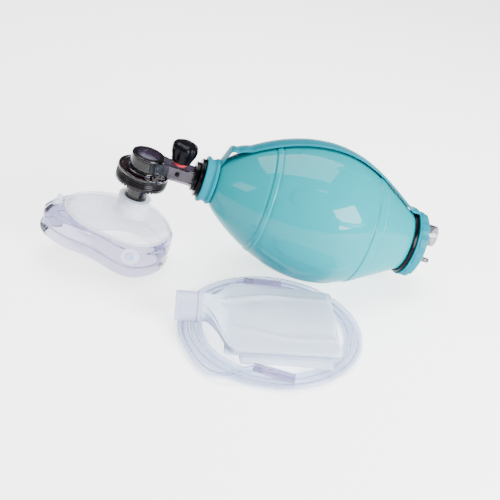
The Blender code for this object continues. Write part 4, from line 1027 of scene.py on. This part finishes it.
    def _insides(self) -> None:
        """Red lip valve, a disc with a slit-ended cone; pale exhalation disc; clear patient
        connector."""
        top = self.flange_top - self.flange_thick - GAP
        clear = self.flange - self.ring_wall - GAP
        cone = self.dome - self.wall - 0.003
        lip = [
            (clear, top), (clear, top - 0.0012), (cone, top - 0.0012), (0.0030, top - 0.0062),
            (0.0012, top - 0.0062),
            (0.0012, top - 0.0050), (cone - 0.0006, top),
        ]
        self._ride(solid("lip_diaphragm", self.place.world(spun(rounded(lip, 0.0003)))), RED,
            "lip_valve")
        low = self.ledge_top + GAP
        disc = [(0.0, low + 0.0012), (self.dome - self.wall - 0.0012, low + 0.0012),
            (self.dome - self.wall - 0.0012, low), (0.0, low)]
        flap = solid("exhalation_flap_disc",
            self.place.world(spun(rounded(disc, 0.0004, closed=False), 72)), loop=False)
        self._ride(flap, SMOKE_DISC, "exhalation_disc", "exhalation_flap")
        seat = top - self.ring_height + self.ring_floor + GAP
        end = self.neck_top - 0.0090
        outer = self.connector
        tube = [
            (clear, seat + 0.0020), (clear, seat), (outer + 0.0004, seat),
            (outer + 0.0003, seat - 0.0040), (outer, self.neck_top + 0.002),
            (outer, end), (self.bore, end), (self.bore, seat + 0.0020),
        ]
        self._ride(solid("patient_port_tube", self.place.world(spun(rounded(tube, 0.0006)))), SMOKE,
            "patient_connector")


@dataclass
class PressureRelief:
    """The pressure-limiting valve on the arm: red seal, cup, poppet, spring and lobed knob, and the
    side pin."""

    place: Place
    x: float = 0.0315
    arm_top: float = 0.0066
    arm_half: float = 0.0085
    arm_wall: float = 0.0018
    seal: float = 0.0070
    seal_height: float = 0.0034
    tube: float = 0.0040
    tube_bore: float = 0.0026
    cup: float = 0.0080
    cup_height: float = 0.0110
    cup_wall: float = 0.0014
    knob: float = 0.0132
    knob_foot: float = 0.0102
    knob_height: float = 0.0205
    lobes: int = 6
    lobe_depth: float = 0.0014
    stem: float = 0.0012
    travel: float = 0.0020

    def build(self, nodes: dict) -> None:
        """Builds each piece; the spring's own node stays, with its steel.

        Args:
            nodes: the frame's nodes by name.
        """
        place = self.place.at(self.x, 0, 0)
        low = self.arm_top + GAP
        high = low + self.seal_height
        hole = self.tube + GAP
        seal = [(self.seal * 0.9, high), (self.seal, (low + high) / 2), (self.seal * 0.86, low),
            (hole, low), (hole, high)]
        made = solid("relief_gasket", place.world(spun(rounded(seal, 0.0010, cuts=6))))
        RED.dress(made)
        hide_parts("relief_seal")
        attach(made, "valve")
        cup_low = high + GAP
        cup_high = cup_low + self.cup_height
        inner = self.cup - self.cup_wall
        floor = cup_low + 0.0016
        arm_under = self.arm_top - self.arm_wall
        cup = [
            (self.cup, cup_high), (self.cup, cup_low), (self.tube, cup_low), (self.tube, arm_under),
            (self.tube_bore, arm_under), (self.tube_bore, floor), (inner, floor), (inner, cup_high),
        ]
        made = solid("relief_cup", place.world(spun(rounded(cup, 0.0004))))
        BLACK.dress(made)
        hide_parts("relief_body")
        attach(made, "valve")
        self._knob(place, cup_low + 0.0006, cup_high + 0.0012)
        poppet_low = floor + GAP
        stem_top = cup_low + 0.0006 + self.knob_height - 0.0036 - self.travel
        poppet = [
            (0.0, stem_top), (self.stem, stem_top), (self.stem, poppet_low + 0.0014),
            (inner - 0.0008, poppet_low + 0.0014),
            (inner - 0.0008, poppet_low), (0.0, poppet_low),
        ]
        made = solid("relief_poppet_pin",
            place.world(spun(rounded(poppet, 0.0003, closed=False), 48)), loop=False)
        PALE.dress(made)
        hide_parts("relief_poppet")
        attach(made, "poppet")
        STEEL.dress(nodes["relief_spring"])
        self._pin(place)

    def _knob(self, place: Place, low: float, well: float) -> None:
        """Lobed knob: a domed profile whose radius dips by a rounded cosine between its lobes."""
        high = low + self.knob_height
        top = self.knob
        profile = rounded(
            [
                (0.0, high - 0.0006), (top * 0.34, high - 0.0006), (top * 0.40, high),
                (top * 0.62, high - 0.0004), (top * 0.88, high - 0.0020),
                (top * 0.99, high - 0.0046), (top, high - 0.0076), (top * 0.97, high - 0.0110),
                (self.knob_foot + 0.0004, low + 0.0030), (self.knob_foot, low + 0.0018),
                (self.knob_foot - 0.0004, low), (self.cup + GAP, low), (self.cup + GAP, well),
                (self.stem + GAP, well),
                (self.stem + GAP, high - 0.0036 + GAP), (0.0, high - 0.0036 + GAP),
            ],
            0.0007,
            closed=False,
        )
        steps = self.lobes * 28
        grid = spun(profile, steps)
        turn = np.linspace(0, 2 * math.pi, steps, endpoint=False)
        dip = self.lobe_depth * np.clip(np.cos(turn * self.lobes) * 1.15 - 0.1, 0, 1) ** 1.2
        skirt = np.arange(len(profile)) < np.argmax(profile[:, 1] < low + 0.0024)
        weight = skirt * smoothstep((profile[:,
            0] - top * 0.55) / (top * 0.3)) * smoothstep((profile[:, 1] - low - 0.0022) / 0.0020)
        shrink = 1 - weight[:, None] * dip[None, :] / top
        grid[..., :2] *= shrink[..., None]
        made = solid("relief_knob", place.world(grid), loop=False)
        BLACK.dress(made)
        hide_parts("relief_cap")
        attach(made, "cap")

    def _pin(self, place: Place) -> None:
        """The black pin in the arm's side, with a stepped button head."""
        half = self.arm_half
        head = [
            (0.0, half + 0.0023), (0.0009, half + 0.0023), (0.0017, half + 0.0021),
            (0.0024, half + 0.0012), (0.0024, half + GAP),
            (0.0013, half + GAP), (0.0013, half - self.arm_wall), (0.0, half - self.arm_wall),
        ]
        made = solid("pressure_pin",
            place.along(Along.MINUS_Y).world(spun(rounded(head, 0.0003, closed=False), 48)),
            loop=False)
        BLACK.dress(made)
        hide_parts("pressure_port_plug")
        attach(made, "valve")


# ---------------------------------------------------------------- mask
@dataclass(frozen=True)
class Outline:
    """A pear-shaped mask outline: its half-width grows from the nose's to the chin's on a
    smoothstep."""

    centre: float
    half: float
    nose: float
    chin: float

    def ring(self, z: float, grow: float = 0.0, sides: int = 144) -> np.ndarray:
        """The outline's points at height z, grown outwards by grow."""
        turn = np.linspace(0, 2 * math.pi, sides, endpoint=False)
        along = np.cos(turn)
        mix = smoothstep((along + 0.3) / 0.95)
        nose, chin = self.nose + grow, self.chin + grow
        width = nose + (chin - nose) * mix
        return np.stack([self.centre + (self.half + grow) * along, width * np.sin(turn),
            np.full(sides, z)], axis=1)

    def between(self, other: Outline) -> Outline:
        """Halfway between two outlines."""
        return Outline(*[(a + b) / 2 for a, b in zip(self._sizes(), other._sizes())])

    def _sizes(self) -> tuple[float, float, float, float]:
        """Centre, half length, nose and chin half-widths."""
        return self.centre, self.half, self.nose, self.chin

    def side_at(self, x: float) -> float:
        """The half-width at x."""
        half = self.ring(0.0, sides=720)[:360]
        return float(np.interp(-x, -half[:, 0], half[:, 1]))


@dataclass
class FaceMask:
    """The mask: clear neck and crown, frosted air cushion, neck insert, inflation valve and side
    plug."""

    place: Place
    neck_top: float = -0.0403
    depth: float = 0.0672
    neck: float = 0.0163
    neck_wall: float = 0.0017
    neck_height: float = 0.0195
    boss: float = 0.0013
    insert_rim: float = 0.0020
    insert_bore: float = 0.0113
    insert_wall: float = 0.0030
    insert_depth: float = 0.0095
    drop: float = 0.0085
    shell: float = 0.0020
    seam: Outline = field(default_factory=lambda: Outline(-0.0100, 0.0540, 0.0400, 0.0500))
    wall: Outline = field(default_factory=lambda: Outline(-0.0160, 0.0670, 0.0330, 0.0575))
    foot: Outline = field(default_factory=lambda: Outline(-0.0160, 0.0610, 0.0270, 0.0515))
    sides: int = 144
    inflate_x: float = -0.0709
    plug_x: float = 0.0105
    plug_drop: float = 0.0120
    plug_seat: float = 0.0088
    plug: float = 0.0042
    table: float = 0.0001

    def _ride(self, obj: bpy.types.Object, finish: Finish, node: str, body: str = "mask") -> None:
        """Dresses a piece, puts it in place of its node and rides it on its body."""
        finish.dress(obj)
        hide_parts(node)
        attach(obj, body)

    def _circle(self, radius: float, z: float) -> np.ndarray:
        """A round ring about the valve's axis."""
        turn = np.linspace(0, 2 * math.pi, self.sides, endpoint=False)
        return np.stack([radius * np.cos(turn), radius * np.sin(turn), np.full(self.sides, z)],
            axis=1)

    def build(self) -> None:
        """Crown, cushion and fittings."""
        self._crown()
        self._cushion()
        self._fittings()

    def _crown(self) -> None:
        """Clear crown: rings blend from the round neck to the pear outline, falling as a steepening
        curve.

        Two fine moulded lines follow the outline, and a lip rings the seam.
        """
        top = self.neck_top - self.insert_rim - GAP
        foot = self.neck_top - self.neck_height
        seam_z = foot - self.drop
        bore = self.neck - self.neck_wall
        boss = self.neck + self.boss
        rings = [self._circle(self.neck - 0.0003, top), self._circle(self.neck, top - 0.0003)]
        for bead in (0.0046, 0.0062, 0.0078):
            lift = 0.0003 if bead == 0.0062 else 0.0
            rings.append(self._circle(self.neck + lift, top - bead))
        rings += [self._circle(self.neck, foot + 0.0026), self._circle(boss, foot + 0.0018),
            self._circle(boss, foot + 0.0004), self._circle(boss + 0.0012, foot)]
        outer = self._fall(self._circle(boss + 0.0012, foot), self.seam.ring(seam_z), foot, seam_z,
            np.linspace(0.05, 1, 40), ridges=True)
        rim = [self.seam.ring(seam_z + 0.0002, 0.0010), self.seam.ring(seam_z - 0.0002, 0.0014),
            self.seam.ring(seam_z - 0.0018, 0.0014), self.seam.ring(seam_z - 0.0020, 0.0010)]
        inner_seam = self.seam.ring(seam_z - 0.0020, -self.shell)
        inner = self._fall(self._circle(bore, foot - self.shell), inner_seam, foot - self.shell,
            seam_z - 0.0020, np.linspace(1, 0.0, 24))
        close = [self._circle(bore, top - 0.0003), self._circle(bore + 0.0003, top)]
        grid = np.concatenate([np.stack(rings), outer, np.stack(rim), inner_seam[None], inner,
            np.stack(close)])
        self._ride(solid("mask_crown", self.place.world(grid), sharp=math.radians(45)), CLEAR,
            "mask_dome")

    def _fall(self, start: np.ndarray, stop: np.ndarray, high: float, low: float, mix: np.ndarray,
            ridges: bool = False) -> np.ndarray:
        """Rings from start to stop whose height falls as the curve through the crown's given
        points.

        Args:
            start: the ring at the neck.
            stop: the ring at the seam.
            high: the height at the neck.
            low: the height at the seam.
            mix: shares of the way from start to stop.
            ridges: whether to raise the two moulded lines.

        Returns:
            One ring per share.
        """
        shares = np.array([0.0, 0.22, 0.48, 0.72, 0.90, 1.0])
        falls = np.array([0.0, 0.05, 0.16, 0.36, 0.66, 1.0])
        steep = np.polyfit(shares, falls, 4)
        fall = np.clip(np.polyval(steep, mix), 0, 1)
        rings = start + (stop - start) * mix[:, None, None]
        rings[..., 2] = (high - (high - low) * fall)[:, None]
        if ridges:
            rings[...,
                2] += (0.0005 * sum(np.exp(-(((mix - at) / 0.020) ** 2)) for at in (0.34, 0.80)))[:,
                None]
        return rings

    def _cushion(self) -> None:
        """Frosted cushion: flowing rings down its bulged wall, round the rolled lip and up inside.

        Heights below the table are raised onto it, which gives the chin its pressed flat.
        """
        top = self.neck_top - self.neck_height - self.drop - 0.0020 - GAP
        lip = self.neck_top - self.depth
        middle = self.seam.between(self.wall)
        n = self.sides
        outer = [
            self.seam.ring(top, 0.0008, n), self.seam.ring(top - 0.0010, 0.0016, n),
            middle.ring(top - 0.0034, 0.0016, n), self.wall.ring(top - 0.0085, -0.0012, n),
            self.wall.ring(top - 0.0125, -0.0004, n), self.wall.ring(lip + 0.0150, -0.0010, n),
            self.wall.ring(lip + 0.0128, -0.0016, n),
            self.wall.ring(lip + 0.0112, -0.0004, n), self.wall.ring(lip + 0.0070, 0.0002, n),
            self.wall.ring(lip + 0.0032, -0.0012, n), self.foot.ring(lip + 0.0006, 0.0020, n),
            self.foot.ring(lip, 0.0, n), self.foot.ring(lip + 0.0008, -0.0030, n),
            self.foot.ring(lip + 0.0060, -0.0055, n), self.foot.ring(lip + 0.0110, -0.0020, n),
            self.wall.ring(lip + 0.0130, -0.0038, n), self.wall.ring(top - 0.0160, -0.0036, n),
            middle.ring(top - 0.0075, -0.0030, n), self.seam.ring(top - 0.0040, -0.0036, n),
            self.seam.ring(top - 0.0006, -0.0038, n), self.seam.ring(top, -0.0034, n),
        ]
        grid = self.place.world(flowing(np.stack(outer), per_row=5, closed=True))
        grid[..., 2] = np.maximum(grid[..., 2], self.table)
        made = solid("mask_air_cushion", grid, sharp=math.radians(60))
        pocket = np.array([(0.0, top + 0.02), (0.0053, top + 0.02), (0.0053, top - 0.0046),
            (0.0, top - 0.0046)])
        made = carve(made,
            solid("pocket", self.place.at(self.inflate_x, 0, 0).world(spun(pocket, 48)),
            loop=False), "DIFFERENCE")
        self._ride(made, CUSHION, "mask_cushion")

    def _fittings(self) -> None:
        """Neck insert with its rim, inflation valve with a small bore in its top, and the ringed
        side plug."""
        top, rim = self.neck_top, self.neck_top - self.insert_rim
        sleeve = self.insert_bore + self.insert_wall
        low = self.neck_top - self.insert_depth
        insert = [(self.neck + 0.0002, top), (self.neck + 0.0002, rim), (sleeve, rim),
            (sleeve, low), (self.insert_bore, low), (self.insert_bore, top)]
        self._ride(solid("neck_insert", self.place.world(spun(rounded(insert, 0.0006)))), FROSTED,
            "mask_neck_insert")
        seam_z = self.neck_top - self.neck_height - self.drop
        base = seam_z - 0.0020 - GAP - 0.0043
        stub = [
            (0.0, base + 0.0088), (0.0013, base + 0.0092), (0.0013, base + 0.0115),
            (0.0023, base + 0.0115), (0.0023, base + 0.0075),
            (0.0026, base + 0.0070), (0.0023, base + 0.0064), (0.0024, base + 0.0052),
            (0.0042, base + 0.0049), (0.0050, base + 0.0040), (0.0050, base), (0.0, base),
        ]
        made = solid("inflation_stub",
            self.place.at(self.inflate_x, 0,
            0).world(spun(rounded(stub, 0.0004, closed=False), 56)), loop=False)
        self._ride(made, FROSTED, "inflation_valve")
        wall_y = self.wall.side_at(self.plug_x) + GAP
        place = self.place.at(self.plug_x, -wall_y, seam_z - self.plug_drop).along(Along.MINUS_Y)
        seat = [
            (self.plug_seat, 0.0014), (self.plug_seat, 0.0), (self.plug + GAP, 0.0),
            (self.plug + GAP, 0.0018), (self.plug + 0.0014, 0.0018),
            (self.plug + 0.0018, 0.0008), (self.plug_seat - 0.0016, 0.0008),
            (self.plug_seat - 0.0012, 0.0018),
        ]
        self._ride(solid("plug_seat_ring", place.world(spun(rounded(seat, 0.0003), 80))), CLEAR,
            "side_plug_seat")
        core = [
            (0.0, 0.0020), (0.0018, 0.0020), (0.0022, 0.0026), (self.plug - 0.0005, 0.0026),
            (self.plug, 0.0020), (self.plug, 0.0), (0.0, 0.0),
        ]
        made = solid("side_plug_core", place.world(spun(rounded(core, 0.0003, closed=False), 64)),
            loop=False)
        self._ride(made, BLUE, "side_plug", "plug")


# ---------------------------------------------------------------- tubing and reservoir
@dataclass
class OxygenTubing:
    """The loose oxygen tubing: a flat coil of clear hose with a soft connector at each end."""

    centre: tuple[float, float]
    tube: float = 0.0062
    bore: float = 0.0042
    inner: float = 0.0672
    pitch: float = 0.00655
    flat: float = 0.00325
    on_top: float = 0.01120
    start: tuple[float, float] = (-0.0070, 0.0660)
    start_heading: float = -0.07
    stop: tuple[float, float] = (-0.0020, -0.0740)
    stop_heading: float = -0.36
    connector: float = 0.0044
    length: float = 0.0380
    per_turn: int = 60

    def route(self) -> np.ndarray:
        """The hose's centreline, in the row frame.

        It leaves the inner connector's left end, drops onto the table as an outward spiral, and in
        its last
        part climbs over the turns and runs into the outer connector's left end.
        """
        centre = np.array([*self.centre, 0.0])
        first, ahead_first = self._end(self.start, self.start_heading)
        last, ahead_last = self._end(self.stop, self.stop_heading)
        turn_in = math.radians(148)
        turns = 2 + (math.radians(205) - turn_in) / (2 * math.pi) + 1
        share = np.linspace(0, 1, int(turns * self.per_turn))
        angle = turn_in + share * turns * 2 * math.pi
        radius = self.inner + self.pitch * np.clip(share * turns, 0, 3.0)
        spiral = np.stack([radius * np.cos(angle), radius * np.sin(angle),
            np.full_like(angle, self.flat)], axis=1) + centre
        lead = self._curve(first, -ahead_first * 0.020, spiral[0], (spiral[1] - spiral[0]) * 10, 14)
        tail = self._curve(spiral[-1], (spiral[-1] - spiral[-2]) * 12, last, ahead_last * 0.030, 18)
        return np.concatenate([lead[:-1], spiral, tail[1:]])

    def _end(self, middle: tuple[float, float], heading: float) -> tuple[np.ndarray, np.ndarray]:
        """The left end of a connector's body and the way that the connector points."""
        ahead = np.array([math.cos(heading), math.sin(heading), 0.0])
        spot = np.array([self.centre[0] + middle[0], self.centre[1] + middle[1], self.on_top])
        return spot - ahead * self.length * 0.30, ahead

    @staticmethod
    def _curve(a: np.ndarray, pull_a: np.ndarray, b: np.ndarray, pull_b: np.ndarray,
            count: int) -> np.ndarray:
        """A Hermite cubic from a to b with those end pulls."""
        t = np.linspace(0, 1, count)[:, None]
        return (
            (2 * t**3 - 3 * t**2 + 1) * a + (t**3 - 2 * t**2 + t) * pull_a * 2
            + (-2 * t**3 + 3 * t**2) * b + (t**3 - t**2) * pull_b * 2
        )

    def build(self) -> None:
        """The hose as a hollow swept tube and its two connectors."""
        path = self.route()
        count = len(path)
        outer = swept(path, np.full(count, self.tube / 2), 20)
        inner = swept(path, np.full(count, self.bore / 2), 20)[::-1]
        hose = solid("oxygen_hose", np.concatenate([outer, inner]), sharp=math.radians(60))
        VINYL.dress(hose)
        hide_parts("oxygen_tubing")
        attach(hose, "tubing")
        ends = [
            self._connector("hose_connector_inner", "tube_connector_inner", self.start,
            self.start_heading),
            self._connector("hose_connector_outer", "tube_connector_outer", self.stop,
            self.stop_heading),
        ]

    def _connector(self, name: str, node: str, middle: tuple[float, float],
            heading: float) -> bpy.types.Object:
        """A flared soft sleeve with grip ribs and a darker inner cone.

        Args:
            name: the new piece's name.
            node: the frame node that it stands for.
            middle: its middle from the coil's centre.
            heading: its angle from the row frame's X.

        Returns:
            The piece, riding with the tubing.
        """
        half, radius = self.length / 2, self.connector
        bore = self.tube / 2 + GAP / 2
        profile = [
            (radius * 0.93, half), (radius, half - 0.0016), (radius, half - 0.0090),
            (radius * 0.93, half - 0.0096), (radius * 0.93, half - 0.0104),
            (radius, half - 0.0110), (radius * 0.98, -half * 0.30), (radius * 0.86, -half * 0.62),
            (radius * 0.84, -half), (bore, -half), (bore, -half * 0.55),
            (bore - 0.0012, -half * 0.50), (bore - 0.0008, half - 0.0100), (radius * 0.74, half),
        ]
        ahead = np.array([math.cos(heading), math.sin(heading), 0.0])
        side = np.array([-math.sin(heading), math.cos(heading), 0.0])
        spot = np.array([self.centre[0] + middle[0], self.centre[1] + middle[1], self.on_top])
        place = Place(spot, np.stack([side, np.array([0.0, 0.0, 1.0]), ahead]))
        made = solid(name, place.world(spun(rounded(profile, 0.0004), 56)))
        VIOLET.dress(made)
        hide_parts(node)
        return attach(made, "tubing")


@dataclass
class ReservoirBag:
    """The folded film bag with its milky socket and ring, lying over the coil."""

    start: tuple[float, float]
    low: float = 0.0068
    socket: float = 0.0143
    socket_wall: float = 0.0017
    socket_length: float = 0.0205
    ring: float = 0.0150
    ring_length: float = 0.0034
    film_length: float = 0.1270
    film_half: float = 0.0515
    columns: int = 160

    def build(self) -> None:
        """Socket with a seated lip, clamp ring, and three folded leaves of film."""
        centre = np.array([self.start[0], self.start[1], self.low + self.ring])
        place = Place(centre, np.eye(3)).along(Along.X)
        inner = self.socket - self.socket_wall
        long = self.socket_length
        end = long + self.ring_length
        socket = [
            (self.socket - 0.0006, end), (self.socket - 0.0006, long - GAP),
            (self.socket, long - GAP), (self.socket, 0.0034), (self.socket - 0.0002, 0.0028),
            (self.socket, 0.0022), (self.socket, 0.0), (inner + 0.0003, 0.0), (inner, 0.0026),
            (inner - 0.0003, 0.0040), (inner, 0.0052), (inner, end),
        ]
        made = solid("reservoir_socket_tube", place.world(spun(rounded(socket, 0.0005), 112)))
        PALE.dress(made)
        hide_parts("reservoir_socket")
        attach(made, "reservoir")
        hole = self.socket - 0.0006 + GAP
        ring = [(self.ring, end), (self.ring, long), (hole, long), (hole, end)]
        made = solid("reservoir_clamp_ring", place.world(spun(rounded(ring, 0.0008, cuts=6), 112)))
        PALE.dress(made)
        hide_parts("reservoir_ring")
        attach(made, "reservoir")
        self._film(centre[0] + end + GAP, centre)

    def _film(self, neck: float, centre: np.ndarray) -> None:
        """The film: a gathered neck that opens into the top leaf, with two folded leaves under
        it."""
        top = self._leaf(neck, centre)
        FILM.dress(top)
        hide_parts("reservoir_bag")
        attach(top, "reservoir")
        for k, (x0, x1, y0, y1, z, seed) in enumerate(
            (
                (neck + 0.022, neck + 0.1255, -0.0530, 0.0500, self.low + 0.0034, 3.1),
                (neck + 0.036, neck + 0.1200, -0.0620, 0.0440, self.low + 0.0012, 5.7),
            )
        ):
            leaf = self._fold(f"film_fold_{k + 1}", x0, x1, centre[1] + y0, centre[1] + y1, z, seed)
            FILM.dress(leaf)
            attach(leaf, "reservoir")

    def _leaf(self, neck: float, centre: np.ndarray) -> bpy.types.Object:
        """Top leaf: sections go from the round neck to a wide flat one, with pleats that fade from
        the neck.

        Each section is a squared-off oval; pleats are a cosine of the angle, and long creases are
        narrow
        Gaussians that fan out from the neck.
        """
        t = np.linspace(0, 1, 110)
        reach = t * self.film_length
        open_up = smoothstep((reach - 0.002) / 0.030)
        wide = 0.0128 + (self.film_half - 0.0128) * open_up**1.25
        tall = 0.0128 + (0.0026 - 0.0128) * smoothstep(reach / 0.026)
        wide *= 1 - 0.03 * smoothstep((t - 0.97) / 0.03)
        tall *= 1 - 0.55 * smoothstep((t - 0.985) / 0.015)
        level = centre[2] + (self.low + 0.0072 - centre[2]) * smoothstep(reach / 0.027)
        power = 1.0 - 0.62 * smoothstep(reach / 0.030)
        turn = np.linspace(0, 2 * math.pi, self.columns, endpoint=False)
        cosine, sine = np.cos(turn), np.sin(turn)
        across = np.sign(cosine) * np.abs(cosine) ** power[:, None]
        rise = np.sign(sine) * np.abs(sine) ** power[:, None]
        pleat = 1 + 0.075 * np.cos(turn * 13 + 1.0)[None,
            :] * (smoothstep(reach / 0.004) * (1 - smoothstep((reach - 0.010) / 0.030)))[:, None]
        y = wide[:, None] * across * pleat
        z = tall[:, None] * rise * pleat
        upper = smoothstep(rise * 2)
        fan = y / np.maximum(wide, 0.02)[:, None]
        fade = smoothstep((reach - 0.010) / 0.014)[:,
            None] * (1 - 0.6 * smoothstep((reach - 0.05) / 0.06))[:, None]
        for at, width, high in ((-0.62, 0.05, 0.0024), (-0.28, 0.035, 0.0030), (0.06, 0.05, 0.0022),
            (0.34, 0.03, 0.0032), (0.66, 0.05, 0.0022)):
            bend = at * (0.55 + 0.45 * smoothstep(reach / 0.09))[:, None]
            z = z + upper * fade * high * np.exp(-(((fan - bend) / width) ** 2))
        x = neck + reach[:,
            None] + 0.0016 * np.sin(6.0 * fan + 0.6) * smoothstep((t - 0.6) / 0.4)[:, None]
        z = z + upper * 0.0012 * np.sin(38 * reach[:,
            None] + 3.0 * fan) * np.sin(2.2 * fan + 9 * t[:, None]) * open_up[:, None]
        wave = 0.0012 * np.sin(30 * reach + 0.4)[:,
            None] * np.sign(across) * smoothstep(np.abs(fan) * 2)
        grid = np.stack([x + 0 * y, centre[1] + y + wave, level[:, None] + z], axis=-1)
        return solid("reservoir_film_top", grid, loop=False, caps=True, sharp=math.radians(70))

    def _fold(self, name: str, x0: float, x1: float, y0: float, y1: float, z: float,
            seed: float) -> bpy.types.Object:
        """One folded leaf: a thin squared-off oval run along X, with rolled edges and slow waves.

        Args:
            name: the new object's name.
            x0: where the leaf starts.
            x1: where it ends.
            y0: its near side.
            y1: its far side.
            z: its middle height.
            seed: shifts the waves.

        Returns:
            The closed leaf.
        """
        t = np.linspace(0, 1, 70)
        middle, half = (y0 + y1) / 2, (y1 - y0) / 2
        turn = np.linspace(0, 2 * math.pi, 120, endpoint=False)
        across = np.sign(np.cos(turn)) * np.abs(np.cos(turn)) ** 0.35
        rise = np.sign(np.sin(turn)) * np.abs(np.sin(turn)) ** 0.6
        ends = np.sqrt(np.clip(1 - (2 * t - 1) ** 16, 0.02, 1))
        thick = 0.0013 * ends
        x = x0 + (x1 - x0) * t[:, None] + 0.0012 * np.sin(3 * across + seed)[None, :]
        y = middle + half * across[None, :] * (1 - 0.012 * np.sin(5 * t + seed))[:, None]
        wave = 0.0006 * np.sin(40 * (x - x0) + seed) * np.sin(60 * (y - middle) + 2 * seed)
        return solid(name, np.stack([x, y, z + thick[:, None] * rise[None, :] + wave], axis=-1),
            loop=False, caps=True, sharp=math.radians(70))


# ---------------------------------------------------------------- studio
@dataclass(frozen=True)
class SoftBox:
    """A square area light that looks at a point."""

    name: str
    azimuth: float
    elevation: float
    distance: float
    size: float
    power: float

    def build(self, target: Vector) -> None:
        """Adds the light, its azimuth measured from +X towards +Y."""
        a, e = math.radians(self.azimuth), math.radians(self.elevation)
        light = bpy.data.lights.new(self.name, "AREA")
        light.shape, light.size, light.energy = "SQUARE", self.size, self.power
        lamp = bpy.data.objects.new(self.name, light)
        lamp.location = target + Vector((math.cos(a) * math.cos(e), math.sin(a) * math.cos(e),
            math.sin(e))) * self.distance
        lamp.rotation_euler = (target - lamp.location).to_track_quat("-Z", "Y").to_euler()
        bpy.context.scene.collection.objects.link(lamp)


@dataclass
class Studio:
    """Pale floor, white surround, soft lights and the camera."""

    eye: tuple[float, float, float] = (-0.05697, -0.70764, 0.47554)
    turn: tuple[float, float, float] = (1.02888, -0.10898, -0.02579)
    lens: float = 61.1227
    floor: float = -0.0002
    lights: tuple[SoftBox, ...] = (
        SoftBox("window_right", -44.0, 20.0, 1.3, 0.70, 58.0),
        SoftBox("window_left", -152.0, 36.0, 1.4, 0.35, 3.0),
        SoftBox("top", 80.0, 72.0, 1.6, 1.40, 62.0),
    )

    def build(self) -> None:
        """Camera first, then floor, surround and lights."""
        data = bpy.data.cameras.new("camera")
        data.lens, data.sensor_width = self.lens, 36.0
        data.clip_start, data.clip_end = 0.01, 20.0
        camera = bpy.data.objects.new("camera", data)
        camera.location, camera.rotation_euler = self.eye, self.turn
        bpy.context.scene.collection.objects.link(camera)
        bpy.context.scene.camera = camera
        self._floor()
        self._surround()
        for light in self.lights:
            light.build(Vector((0.0, 0.0, 0.05)))

    def _floor(self) -> None:
        """A wide pale sheet that gives off its own soft light."""
        mesh = bpy.data.meshes.new("studio_floor")
        mesh.from_pydata([(-3, -3, self.floor), (3, -3, self.floor), (3, 3, self.floor),
            (-3, 3, self.floor)], [], [(0, 1, 2, 3)])
        sheet = bpy.data.objects.new("studio_floor", mesh)
        bpy.context.scene.collection.objects.link(sheet)
        made = bpy.data.materials.new("studio_white")
        made.use_nodes = True
        shader = made.node_tree.nodes["Principled BSDF"]
        shader.inputs["Base Color"].default_value = (0.92, 0.92, 0.93, 1)
        shader.inputs["Roughness"].default_value = 0.7
        shader.inputs["Emission Color"].default_value = (1.0, 1.0, 1.0, 1)
        shader.inputs["Emission Strength"].default_value = 2.0
        mesh.materials.append(made)

    @staticmethod
    def _surround() -> None:
        """An even white surround."""
        world = bpy.data.worlds.new("surround")
        world.use_nodes = True
        back = world.node_tree.nodes["Background"]
        back.inputs["Color"].default_value = (0.96, 0.97, 1.0, 1)
        back.inputs["Strength"].default_value = 0.22
        bpy.context.scene.world = world


# ---------------------------------------------------------------- the whole object
def main() -> None:
    """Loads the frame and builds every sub-assembly on it."""
    logging.basicConfig(level=logging.INFO, format="%(name)s: %(message)s")
    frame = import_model()
    valve = valve_place(frame["joints"])
    LOG.info("valve axes meet at %s", np.round(valve.origin, 5))
    Studio().build()
    tubing_low, tubing_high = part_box("oxygen_tubing")
    socket_low, socket_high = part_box("reservoir_socket")
    centre = ((tubing_low.x + tubing_high.x) / 2, (tubing_low.y + tubing_high.y) / 2)
    OxygenTubing(centre).build()
    LOG.info("tubing built")
    bag = SqueezeBag(valve)
    bag.build()
    HandStrap(bag).build()
    LOG.info("bag and strap built")
    FrontSwivel(valve).build()
    IntakeEnd(valve).build()
    LOG.info("swivel and intake end built")
    PatientValve(valve).build()
    PressureRelief(valve).build(frame["nodes"])
    LOG.info("valve and relief built")
    FaceMask(valve).build()
    LOG.info("mask built")
    ReservoirBag((socket_low.x, (socket_low.y + socket_high.y) / 2)).build()
    LOG.info("reservoir bag built")


if __name__ == "__main__":
    main()
